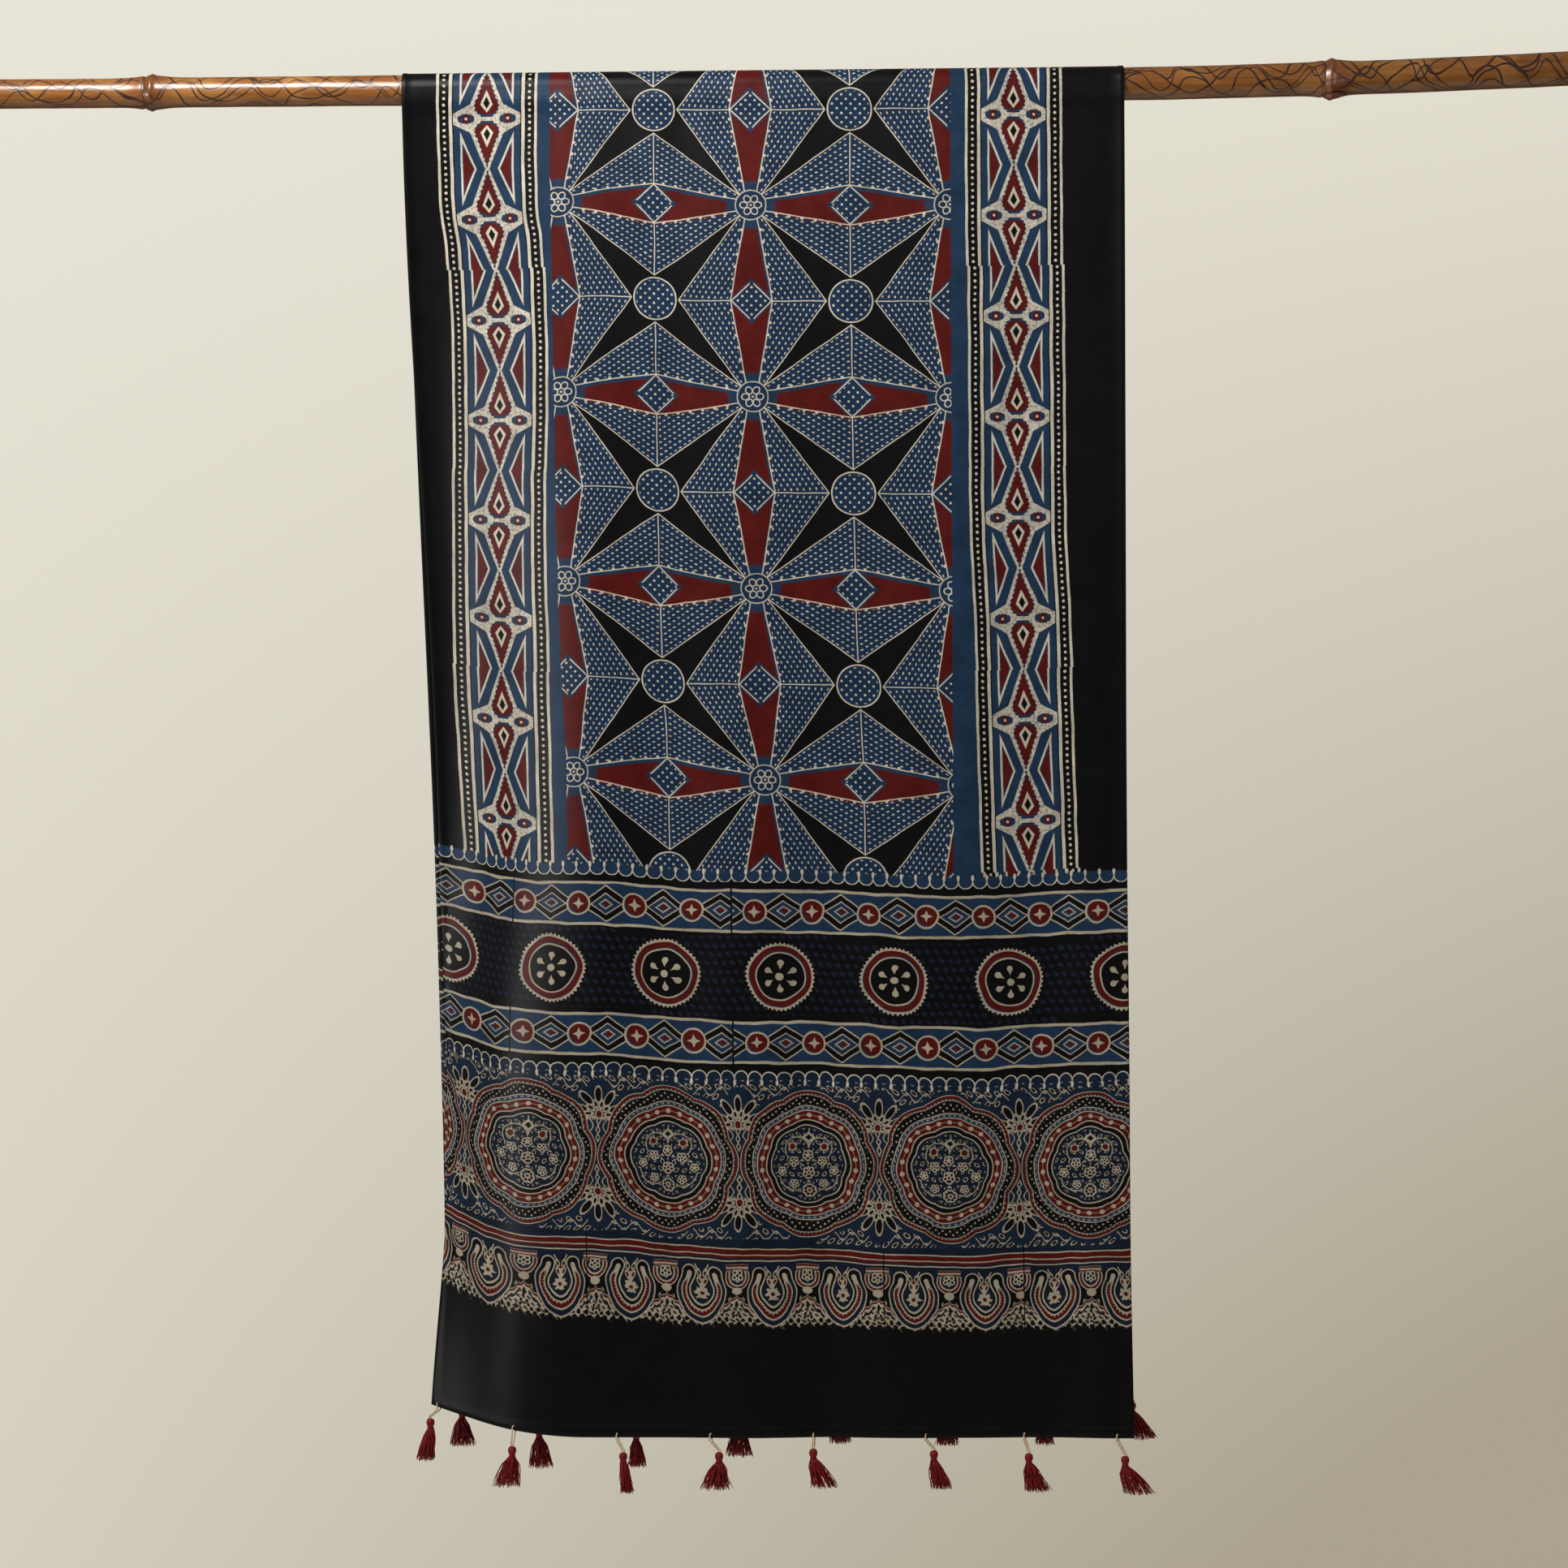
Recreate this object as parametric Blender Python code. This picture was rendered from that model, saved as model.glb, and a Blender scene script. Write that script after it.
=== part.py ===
"""Ajrakh stole hung over a bamboo pole, with red tassels on cord loops along both of its hems.

Metres. +Z is up, +X runs along the pole and the front panel faces -Y. The origin is on the pole's
axis, under the middle of the stole.
"""
import math
from collections import namedtuple

import bmesh
import bpy
from mathutils import Vector

# Pole
POLE_LEFT = -0.616
POLE_RIGHT = 0.648
POLE_MID_RADIUS = 0.0122
POLE_TAPER = 0.00155  # growth of the radius over a metre towards +X
POLE_SLOPE = 0.0088
POLE_BEND_START = 0.20
POLE_BEND = 0.05  # rise past the bend's start, over a metre squared
POLE_SIDES = 18
POLE_STATION_STEP = 0.075
POLE_NODES = (-0.475, 0.4415)
NODE_RIDGE = 0.0032
NODE_PROFILE = ((-0.014, 0.0), (-0.005, 0.45), (-0.0015, 1.0), (0.0015, 0.85), (0.006, 0.4), (0.014, 0.0))

# Stole
CLOTH_WIDTH = 0.56
CLOTH_THICKNESS = 0.0015
CLOTH_GAP = 0.0012
FRONT_DROP = 1.0485  # pole axis to hem
BACK_DROP = 1.036
CURL_WIDTH = 0.085  # strip along the left edge that curls away to the back
SWING_MIDDLE = -0.20  # the cloth steps back across a strip around this line
SWING_REACH = 0.075
LEFT_WIDTH = 0.155  # strip with closer columns
LEFT_COLUMNS = 10
RIGHT_COLUMNS = 14
FRONT_ROWS = 20
BACK_ROWS = 18
SADDLE_ROWS = 8
PLAN_STEP = 0.004
CORNER_START = -0.15
CORNER_LIFT = 0.0185
CORNER_POWER = 1.6
BACK_CORNER_LIFT = 0.011
BACK_RISE = 0.018  # the back hem sits higher to the right of its middle
BACK_RISE_FROM = -0.10
BACK_RISE_TO = 0.05

# Tassels and the cord loops that they hang from
HOLE_RISE = 0.0032  # hole's centre above the hem's edge
HOLE_WIDTH = 0.0026
HOLE_HEIGHT = 0.0022
HOLE_DEPTH = 0.012
CORD_RADIUS = 0.00065
CORD_SIDE = 0.0008  # each strand's distance from the loop's middle
CORD_STANDOFF = 0.0019  # each strand's distance from the middle of the cloth
CORD_FOOT = 0.0012  # upright end of each strand, on the tassel's head
PIECE_GAP = 0.0003
TASSEL_SIDES = 8
TASSEL_DEPTH_SHARE = 0.62  # skirt's depth over its width

DrapeRow = namedtuple("DrapeRow", "fall drift swing curl ripple")  # fall 0 at the pole, 1 at the hem; degrees
FRONT_DRAPE = (
    DrapeRow(0.00, 0.0000, 0, 0, 0),
    DrapeRow(0.30, 0.0014, 24, 8, 6),
    DrapeRow(0.56, 0.0030, 33, 17, 9),
    DrapeRow(0.72, 0.0050, 18, 56, 10),
    DrapeRow(0.86, 0.0060, 14, 60, 10),
    DrapeRow(1.00, 0.0084, 11, 38, 8),
)
BACK_DRAPE = (
    DrapeRow(0.00, 0.0000, 0, 0, 0),
    DrapeRow(0.30, 0.0028, 17, 5, 5),
    DrapeRow(0.60, 0.0048, 27, 16, 8),
    DrapeRow(0.85, 0.0058, 22, 42, 8),
    DrapeRow(1.00, 0.0064, 20, 40, 7),
)
Ripple = namedtuple("Ripple", "wavelength share phase lean")
RIPPLES = (Ripple(0.150, 0.62, 0.4, 0.9), Ripple(0.093, 0.38, 2.2, -1.6))

# Where each tassel hangs across its hem, how far its head and its skirt swing aside, the drop from
# the hole to the head's middle, the skirt's width and its length below the head's middle.
TasselRow = namedtuple("TasselRow", "across head_aside skirt_aside head_drop width length")
FRONT_TASSELS = (
    TasselRow(-0.2735, -0.0063, -0.0038, 0.0157, 0.016, 0.0296),
    TasselRow(-0.2027, -0.0013, -0.0038, 0.0189, 0.024, 0.0283),
    TasselRow(-0.1211, 0.0044, 0.0031, 0.0182, 0.011, 0.0283),
    TasselRow(-0.0486, 0.0063, -0.0025, 0.0176, 0.026, 0.0258),
    TasselRow(0.0316, -0.0006, 0.0088, 0.0155, 0.023, 0.0270),
    TasselRow(0.1189, 0.0057, 0.0063, 0.0160, 0.017, 0.0270),
    TasselRow(0.1953, 0.0031, 0.0069, 0.0189, 0.022, 0.0264),
    TasselRow(0.2672, 0.0057, 0.0107, 0.0201, 0.026, 0.0264),
)
BACK_TASSELS = (
    TasselRow(-0.2619, 0.0020, 0.0006, 0.0175, 0.022, 0.0270),
    TasselRow(-0.1819, -0.0010, 0.0019, 0.0180, 0.021, 0.0290),
    TasselRow(-0.1069, 0.0012, 0.0010, 0.0185, 0.016, 0.0250),
    TasselRow(-0.0269, 0.0020, 0.0000, 0.0175, 0.024, 0.0260),
    TasselRow(0.0531, -0.0008, 0.0020, 0.0165, 0.019, 0.0270),
    TasselRow(0.1371, 0.0016, -0.0010, 0.0180, 0.019, 0.0265),
    TasselRow(0.2121, 0.0010, 0.0015, 0.0180, 0.016, 0.0265),
    TasselRow(0.2735, 0.0090, 0.0100, 0.0132, 0.021, 0.0262),
)
TasselRing = namedtuple("TasselRing", "along radius")  # along from the head's top, both in head radii
TASSEL_HEAD_RADIUS = 0.0033
TASSEL_RINGS = (
    TasselRing(0.0, 0.58),
    TasselRing(0.7, 1.0),
    TasselRing(1.6, 0.95),
    TasselRing(2.5, 0.72),
)
SKIRT_FLARES = ((0.45, 0.62), (1.0, 1.0))  # share of the skirt's length, share of its width


def clear_scene():
    for thing in list(bpy.data.objects):
        bpy.data.objects.remove(thing, do_unlink=True)


def plain_material(name, colour, roughness):
    material = bpy.data.materials.new(name)
    material.use_nodes = True
    shader = material.node_tree.nodes["Principled BSDF"]
    shader.inputs["Base Color"].default_value = (*colour, 1.0)
    shader.inputs["Roughness"].default_value = roughness
    return material


def add_object(name, data, material=None):
    thing = bpy.data.objects.new(name, data)
    bpy.context.collection.objects.link(thing)
    if material is not None:
        thing.data.materials.append(material)
    return thing


def mesh_from(name, points, faces):
    mesh = bpy.data.meshes.new(name)
    mesh.from_pydata([tuple(point) for point in points], [], faces)
    work = bmesh.new()
    work.from_mesh(mesh)
    bmesh.ops.recalc_face_normals(work, faces=work.faces)
    work.to_mesh(mesh)
    work.free()
    return mesh


def loft(name, rings):
    """A closed body through rings of the same number of points, with a flat cap at each end."""
    sides = len(rings[0])
    points = [point for ring in rings for point in ring]
    faces = [
        (row * sides + i, row * sides + (i + 1) % sides, (row + 1) * sides + (i + 1) % sides, (row + 1) * sides + i)
        for row in range(len(rings) - 1)
        for i in range(sides)
    ]
    last = (len(rings) - 1) * sides
    faces.append(tuple(range(sides)))
    faces.append(tuple(last + i for i in range(sides)))
    return mesh_from(name, points, faces)


def pole_radius(x):
    return POLE_MID_RADIUS + POLE_TAPER * x


def pole_height(x):
    return POLE_SLOPE * x + POLE_BEND * max(0.0, x - POLE_BEND_START) ** 2


def pole_stations():
    """Each station along the pole, with how far the ridge of a node stands out there."""
    count = round((POLE_RIGHT - POLE_LEFT) / POLE_STATION_STEP)
    span = (POLE_RIGHT - POLE_LEFT) / count
    reach = NODE_PROFILE[-1][0] + 0.3 * POLE_STATION_STEP
    stations = [(POLE_LEFT + i * span, 0.0) for i in range(count + 1)]
    stations = [row for row in stations if all(abs(row[0] - node) > reach for node in POLE_NODES)]
    stations += [(node + along, share * NODE_RIDGE) for node in POLE_NODES for along, share in NODE_PROFILE]
    return sorted(stations)


def build_pole(material):
    rings = []
    for x, ridge in pole_stations():
        radius = pole_radius(x) + ridge
        turns = [2 * math.pi * i / POLE_SIDES for i in range(POLE_SIDES)]
        rings.append(
            [Vector((x, radius * math.cos(turn), pole_height(x) + radius * math.sin(turn))) for turn in turns]
        )
    mesh = loft("pole", rings)
    mesh.materials.append(material)
    mesh.shade_smooth()
    mesh.set_sharp_from_angle(angle=math.radians(50))
    add_object("pole", mesh)


def drape_at(table, fall):
    """The drape's values at a fall, on a smooth cubic through the table's rows."""
    index = next((i for i in range(len(table) - 2) if fall < table[i + 1].fall), len(table) - 2)
    low, high = table[index], table[index + 1]
    before, after = table[max(0, index - 1)], table[min(len(table) - 1, index + 2)]
    step = high.fall - low.fall
    t = (fall - low.fall) / step
    values = []
    for a, b, c, d in zip(before[1:], low[1:], high[1:], after[1:]):
        leave = (c - a) / (high.fall - before.fall) * step
        arrive = (d - b) / (after.fall - low.fall) * step
        values.append(
            b * (2 * t**3 - 3 * t**2 + 1)
            + leave * (t**3 - 2 * t**2 + t)
            + c * (3 * t**2 - 2 * t**3)
            + arrive * (t**3 - t**2)
        )
    return DrapeRow(fall, *values)


def smooth_step(low, high, value):
    t = min(1.0, max(0.0, (value - low) / (high - low)))
    return t * t * (3 - 2 * t)


def hem_depth(side, u):
    """How far the hem hangs below the pole's axis: the left corner and half of the back are drawn up."""
    corner = max(0.0, (CORNER_START - u) / (CORNER_START + CLOTH_WIDTH / 2)) ** CORNER_POWER
    if side < 0:
        return FRONT_DROP - CORNER_LIFT * corner
    return BACK_DROP - BACK_CORNER_LIFT * corner - BACK_RISE * smooth_step(BACK_RISE_FROM, BACK_RISE_TO, u)


def turn_at(row, u):
    """The cloth's angle from the pole's direction, seen from above."""
    ripple = sum(w.share * math.sin(2 * math.pi * u / w.wavelength + w.phase + w.lean * row.fall) for w in RIPPLES)
    curl = max(0.0, (CURL_WIDTH - CLOTH_WIDTH / 2 - u) / CURL_WIDTH)
    swing = max(0.0, 1 - ((u - SWING_MIDDLE) / SWING_REACH) ** 2)
    return math.radians(row.ripple * ripple - row.curl * curl - row.swing * swing)


def panel_point(side, u, fall):
    """The middle of the cloth on the front (side -1) or back (side 1) panel."""
    row = drape_at(FRONT_DRAPE if side < 0 else BACK_DRAPE, fall)
    steps = max(1, math.ceil(abs(u) / PLAN_STEP))
    step = u / steps
    turns = [turn_at(row, (i + 0.5) * step) for i in range(steps)]
    x = row.drift + sum(math.cos(turn) for turn in turns) * step
    y = side * saddle_radius(u) + sum(math.sin(turn) for turn in turns) * step
    z = (1 - fall) * pole_height(u) - fall * hem_depth(side, u)
    return Vector((x, y, z))


def saddle_radius(u):
    return pole_radius(u) + CLOTH_GAP + CLOTH_THICKNESS / 2


def saddle_point(u, turn):
    """The middle of the cloth on the pole, turned from straight up towards the back."""
    radius = saddle_radius(u)
    return Vector((u, radius * math.sin(turn), pole_height(u) + radius * math.cos(turn)))


def columns():
    left = -CLOTH_WIDTH / 2
    close = [left + LEFT_WIDTH * i / LEFT_COLUMNS for i in range(LEFT_COLUMNS)]
    wide = CLOTH_WIDTH - LEFT_WIDTH
    return close + [left + LEFT_WIDTH + wide * i / RIGHT_COLUMNS for i in range(RIGHT_COLUMNS + 1)]


def build_cloth(material, cutter):
    across = columns()
    rows = [[panel_point(-1, u, 1 - i / FRONT_ROWS) for u in across] for i in range(FRONT_ROWS)]
    for i in range(SADDLE_ROWS + 1):
        rows.append([saddle_point(u, math.pi * (i / SADDLE_ROWS - 0.5)) for u in across])
    rows += [[panel_point(1, u, (i + 1) / BACK_ROWS) for u in across] for i in range(BACK_ROWS)]
    wide = len(across)
    faces = [
        (row * wide + i, row * wide + i + 1, (row + 1) * wide + i + 1, (row + 1) * wide + i)
        for row in range(len(rows) - 1)
        for i in range(wide - 1)
    ]
    mesh = mesh_from("cloth", [point for row in rows for point in row], faces)
    mesh.materials.append(material)
    cloth = add_object("cloth", mesh)
    thick = cloth.modifiers.new("thickness", "SOLIDIFY")
    thick.thickness = CLOTH_THICKNESS
    thick.offset = 0.0
    holes = cloth.modifiers.new("loop_holes", "BOOLEAN")
    holes.operation = "DIFFERENCE"
    holes.solver = "EXACT"
    holes.object = cutter


def hem_facet_point(side, u, fall):
    """A point on the last row of the panel's facets, which are flat between the columns."""
    right = next(column for column in columns() if column > u)
    left = max(column for column in columns() if column <= u)
    last_row = 1 - 1 / (FRONT_ROWS if side < 0 else BACK_ROWS)
    across = (u - left) / (right - left)
    upper = panel_point(side, left, last_row).lerp(panel_point(side, right, last_row), across)
    lower = panel_point(side, left, 1).lerp(panel_point(side, right, 1), across)
    return upper.lerp(lower, (fall - last_row) / (1 - last_row))


def hem_frame(side, u):
    """A tassel's hole in the hem: its place, the direction across the hem, and the outward normal."""
    fall = 1 - HOLE_RISE / hem_depth(side, u)
    place = hem_facet_point(side, u, fall)
    across = hem_facet_point(side, u + PLAN_STEP / 4, fall) - hem_facet_point(side, u - PLAN_STEP / 4, fall)
    across.z = 0.0
    across.normalize()
    outward = across.cross(Vector((0, 0, 1)))
    if outward.y * side < 0:
        outward.negate()
    return place, across, outward


def hole_cutter(tassels):
    work = bmesh.new()
    for side, row in tassels:
        place, across, outward = hem_frame(side, row.across)
        made = bmesh.ops.create_cube(work, size=1.0)["verts"]
        for vert in made:
            vert.co = (
                place
                + across * vert.co.x * HOLE_WIDTH
                + outward * vert.co.y * HOLE_DEPTH
                + Vector((0, 0, vert.co.z * HOLE_HEIGHT))
            )
    bmesh.ops.recalc_face_normals(work, faces=work.faces)
    mesh = bpy.data.meshes.new("hole_cutter")
    work.to_mesh(mesh)
    work.free()
    cutter = add_object("hole_cutter", mesh)
    cutter.hide_render = True
    cutter.display_type = "WIRE"
    return cutter


def head_top(side, row):
    """The top of a tassel's head, under its hole and swung aside."""
    place, _, _ = hem_frame(side, row.across)
    return place + Vector((row.head_aside, 0, TASSEL_HEAD_RADIUS - row.head_drop))


def build_loop(name, side, row, material):
    """A hairpin of cord through the hem's hole, one strand in front of the hem and one behind it."""
    place, across, outward = hem_frame(side, row.across)
    up = Vector((0, 0, 1))
    foot = head_top(side, row) + up * PIECE_GAP
    leg = [  # out from the cloth, aside, up from the hole
        (CORD_STANDOFF, CORD_SIDE, -0.0055),
        (CORD_STANDOFF, CORD_SIDE, -0.0014),
        (CORD_STANDOFF * 0.68, CORD_SIDE * 0.75, -0.0002),
    ]
    points = [foot - across * CORD_SIDE, foot - across * CORD_SIDE + up * CORD_FOOT]
    points += [place + outward * out - across * aside + up * rise for out, aside, rise in leg]
    points.append(place + up * 0.0001)
    points += [place - outward * out + across * aside + up * rise for out, aside, rise in reversed(leg)]
    points += [foot + across * CORD_SIDE + up * CORD_FOOT, foot + across * CORD_SIDE]
    curve = bpy.data.curves.new(name, "CURVE")
    curve.dimensions = "3D"
    curve.bevel_depth = CORD_RADIUS
    curve.bevel_resolution = 2
    curve.use_fill_caps = True
    spline = curve.splines.new("POLY")
    spline.points.add(len(points) - 1)
    for spot, point in zip(spline.points, points):
        spot.co = (*point, 1.0)
    add_object(name, curve, material)


def build_tassel(name, side, row, material):
    """A bound head, a tied neck and a skirt of threads that fans out and swings aside."""
    top = head_top(side, row)
    rings = []
    for ring in TASSEL_RINGS:
        radius = TASSEL_HEAD_RADIUS * ring.radius
        rings.append((ring.along * TASSEL_HEAD_RADIUS, radius, radius, 0.0))
    neck = rings[-1][0]
    skirt = row.length + TASSEL_HEAD_RADIUS - neck
    for share, flare in SKIRT_FLARES:
        half = row.width / 2 * flare
        deep = max(half * TASSEL_DEPTH_SHARE, TASSEL_HEAD_RADIUS)
        rings.append((neck + skirt * share, half, deep, share * row.skirt_aside))
    loops = []
    for down, half, deep, aside in rings:
        turns = [2 * math.pi * (i + 0.5) / TASSEL_SIDES for i in range(TASSEL_SIDES)]
        middle = top + Vector((aside, 0, -down))
        loops.append([middle + Vector((half * math.cos(turn), deep * math.sin(turn), 0)) for turn in turns])
    mesh = loft(name, loops)
    mesh.materials.append(material)
    mesh.shade_smooth()
    add_object(name, mesh)


def main():
    clear_scene()
    bamboo = plain_material("bamboo", (0.30, 0.13, 0.04), 0.35)
    printed = plain_material("printed_cloth", (0.02, 0.045, 0.10), 0.45)
    cord = plain_material("cream_cord", (0.60, 0.48, 0.30), 0.8)
    thread = plain_material("red_thread", (0.11, 0.006, 0.010), 0.6)
    tassels = [(-1, row) for row in FRONT_TASSELS] + [(1, row) for row in BACK_TASSELS]
    build_pole(bamboo)
    build_cloth(printed, hole_cutter(tassels))
    for end, side, rows in (("front", -1, FRONT_TASSELS), ("back", 1, BACK_TASSELS)):
        for number, row in enumerate(rows, 1):
            build_loop(f"loop_{end}_{number}", side, row, cord)
            build_tassel(f"tassel_{end}_{number}", side, row, thread)


main()
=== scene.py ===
"""Looks for the ajrakh stole hung over a bamboo pole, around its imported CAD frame.

Metres, in the CAD's own frame: +X along the pole, the front panel faces -Y, +Z up. Print patterns are
worked out in millimetres: p across the cloth from its middle line, q up from the nearer hem.
"""
import math
import random
from collections import namedtuple

import bmesh
import bpy
import numpy as np
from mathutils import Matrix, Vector, noise


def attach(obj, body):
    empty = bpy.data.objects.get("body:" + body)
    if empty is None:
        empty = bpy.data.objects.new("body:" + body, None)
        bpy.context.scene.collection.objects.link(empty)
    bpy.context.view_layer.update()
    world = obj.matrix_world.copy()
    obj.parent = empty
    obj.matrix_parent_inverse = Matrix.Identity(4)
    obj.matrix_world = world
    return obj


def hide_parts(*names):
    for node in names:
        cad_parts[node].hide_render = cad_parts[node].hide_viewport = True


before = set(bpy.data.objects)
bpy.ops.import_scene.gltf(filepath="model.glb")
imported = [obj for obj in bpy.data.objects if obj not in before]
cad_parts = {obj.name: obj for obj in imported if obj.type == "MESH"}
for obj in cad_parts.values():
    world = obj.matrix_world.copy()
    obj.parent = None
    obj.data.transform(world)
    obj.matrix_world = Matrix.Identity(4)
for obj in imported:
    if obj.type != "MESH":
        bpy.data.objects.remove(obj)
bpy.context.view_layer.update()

# The stole and its pole, as in the CAD
POLE_LEFT = -0.616
POLE_RIGHT = 0.648
POLE_MID_RADIUS = 0.0122
POLE_TAPER = 0.00155
POLE_SLOPE = 0.0088
POLE_BEND_START = 0.20
POLE_BEND = 0.05
POLE_NODES = (-0.475, 0.4415)
NODE_RIDGE = 0.0032
CLOTH_WIDTH = 0.56
CAD_THICKNESS = 0.0015
CAD_GAP = 0.0012
FRONT_DROP = 1.0485
BACK_DROP = 1.036
CURL_WIDTH = 0.085
SWING_MIDDLE = -0.20
SWING_REACH = 0.075
CORNER_START = -0.15
CORNER_LIFT = 0.0185
CORNER_POWER = 1.6
BACK_CORNER_LIFT = 0.011
BACK_RISE = 0.018
BACK_RISE_FROM = -0.10
BACK_RISE_TO = 0.05
# fall from the pole (0) to the hem (1), drift in metres, then swing, curl and ripple in degrees
FRONT_DRAPE = (
    (0.00, 0.0000, 0, 0, 0),
    (0.30, 0.0014, 24, 8, 6),
    (0.56, 0.0030, 33, 17, 9),
    (0.72, 0.0050, 18, 56, 10),
    (0.86, 0.0060, 14, 60, 10),
    (1.00, 0.0084, 11, 38, 8),
)
BACK_DRAPE = (
    (0.00, 0.0000, 0, 0, 0),
    (0.30, 0.0028, 17, 5, 5),
    (0.60, 0.0048, 27, 16, 8),
    (0.85, 0.0058, 22, 42, 8),
    (1.00, 0.0064, 20, 40, 7),
)
RIPPLES = ((0.150, 0.62, 0.4, 0.9), (0.093, 0.38, 2.2, -1.6))  # wavelength, share, phase, lean

# The stole as it is shown
SHEET_THICKNESS = 0.00045
HEM_THICKNESS = 0.0011
SIDE_HEM = 0.0038
END_HEM = 0.0080
HEM_EDGE_SHARE = 0.28  # half thickness of a hem's rounded edge, as a share of the hem's thickness
SHOWN_GAP = 0.0007
SETTLED_FALL = 0.08  # below it the shown cloth lies where the CAD's does
SADDLE_ROWS = 28
PLAN_STEPS = 280  # steps in which a row's bends are added up across the cloth

# Tassels and cords, as in the CAD
HOLE_RISE = 0.0032
CORD_SIDE = 0.0008
CORD_STANDOFF = 0.0019
TASSEL_HEAD_RADIUS = 0.0033
CORD_POINTS = 64
CORD_PLY = 0.00036
CORD_TWIST = 0.62  # turn from one point to the next
TasselRow = namedtuple("TasselRow", "across head_aside skirt_aside head_drop width length")
FRONT_TASSELS = (
    TasselRow(-0.2735, -0.0063, -0.0038, 0.0157, 0.016, 0.0296),
    TasselRow(-0.2027, -0.0013, -0.0038, 0.0189, 0.024, 0.0283),
    TasselRow(-0.1211, 0.0044, 0.0031, 0.0182, 0.011, 0.0283),
    TasselRow(-0.0486, 0.0063, -0.0025, 0.0176, 0.026, 0.0258),
    TasselRow(0.0316, -0.0006, 0.0088, 0.0155, 0.023, 0.0270),
    TasselRow(0.1189, 0.0057, 0.0063, 0.0160, 0.017, 0.0270),
    TasselRow(0.1953, 0.0031, 0.0069, 0.0189, 0.022, 0.0264),
    TasselRow(0.2672, 0.0057, 0.0107, 0.0201, 0.026, 0.0264),
)
BACK_TASSELS = (
    TasselRow(-0.2619, 0.0020, 0.0006, 0.0175, 0.022, 0.0270),
    TasselRow(-0.1819, -0.0010, 0.0019, 0.0180, 0.021, 0.0290),
    TasselRow(-0.1069, 0.0012, 0.0010, 0.0185, 0.016, 0.0250),
    TasselRow(-0.0269, 0.0020, 0.0000, 0.0175, 0.024, 0.0260),
    TasselRow(0.0531, -0.0008, 0.0020, 0.0165, 0.019, 0.0270),
    TasselRow(0.1371, 0.0016, -0.0010, 0.0180, 0.019, 0.0265),
    TasselRow(0.2121, 0.0010, 0.0015, 0.0180, 0.016, 0.0265),
    TasselRow(0.2735, 0.0090, 0.0100, 0.0132, 0.021, 0.0262),
)


def smooth_step(low, high, value):
    t = np.clip((value - low) / (high - low), 0.0, 1.0)
    return t * t * (3 - 2 * t)


def pole_radius(x):
    return POLE_MID_RADIUS + POLE_TAPER * x


def pole_height(x):
    return POLE_SLOPE * x + POLE_BEND * np.maximum(0.0, x - POLE_BEND_START) ** 2


def drape_at(table, fall):
    """The drape's values at a fall, on a smooth cubic through the table's rows."""
    index = next((i for i in range(len(table) - 2) if fall < table[i + 1][0]), len(table) - 2)
    low, high = table[index], table[index + 1]
    before, after = table[max(0, index - 1)], table[min(len(table) - 1, index + 2)]
    step = high[0] - low[0]
    t = (fall - low[0]) / step
    values = []
    for a, b, c, d in zip(before[1:], low[1:], high[1:], after[1:]):
        leave = (c - a) / (high[0] - before[0]) * step
        arrive = (d - b) / (after[0] - low[0]) * step
        values.append(
            b * (2 * t**3 - 3 * t**2 + 1)
            + leave * (t**3 - 2 * t**2 + t)
            + c * (3 * t**2 - 2 * t**3)
            + arrive * (t**3 - t**2)
        )
    return values


def hem_depth(side, u):
    corner = np.maximum(0.0, (CORNER_START - u) / (CORNER_START + CLOTH_WIDTH / 2)) ** CORNER_POWER
    if side < 0:
        return FRONT_DROP - CORNER_LIFT * corner
    return BACK_DROP - BACK_CORNER_LIFT * corner - BACK_RISE * smooth_step(BACK_RISE_FROM, BACK_RISE_TO, u)


def turn_at(row, fall, u):
    """The cloth's angle from the pole's direction, seen from above."""
    drift, swing, curl, ripple = row
    wave = sum(
        share * np.sin(2 * np.pi * u / length + phase + lean * fall) for length, share, phase, lean in RIPPLES
    )
    curled = np.maximum(0.0, (CURL_WIDTH - CLOTH_WIDTH / 2 - u) / CURL_WIDTH)
    swung = np.maximum(0.0, 1 - ((u - SWING_MIDDLE) / SWING_REACH) ** 2)
    return np.radians(ripple * wave - curl * curled - swing * swung)


def panel_row(side, across, fall):
    """The middle of the cloth along one row of a panel, at each place in across."""
    row = drape_at(FRONT_DRAPE if side < 0 else BACK_DRAPE, fall)
    fine = np.linspace(-CLOTH_WIDTH / 2, CLOTH_WIDTH / 2, PLAN_STEPS + 1)
    step = fine[1] - fine[0]
    turns = turn_at(row, fall, (fine[1:] + fine[:-1]) / 2)
    run_x = np.concatenate([[0.0], np.cumsum(np.cos(turns)) * step])
    run_y = np.concatenate([[0.0], np.cumsum(np.sin(turns)) * step])
    run_x -= run_x[PLAN_STEPS // 2]
    run_y -= run_y[PLAN_STEPS // 2]
    x = row[0] + np.interp(across, fine, run_x)
    settled = smooth_step(0.0, SETTLED_FALL, fall)
    hug = (CAD_GAP + CAD_THICKNESS / 2) * settled + (SHOWN_GAP + SHEET_THICKNESS / 2) * (1 - settled)
    y = side * (pole_radius(across) + hug) + np.interp(across, fine, run_y)
    z = (1 - fall) * pole_height(across) - fall * hem_depth(side, across)
    return np.stack([x, y, z], axis=1)


def saddle_row(across, turn):
    radius = pole_radius(across) + SHOWN_GAP + SHEET_THICKNESS / 2
    return np.stack([across, radius * math.sin(turn), pole_height(across) + radius * math.cos(turn)], axis=1)


# ---------------------------------------------------------------- shader arithmetic


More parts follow.
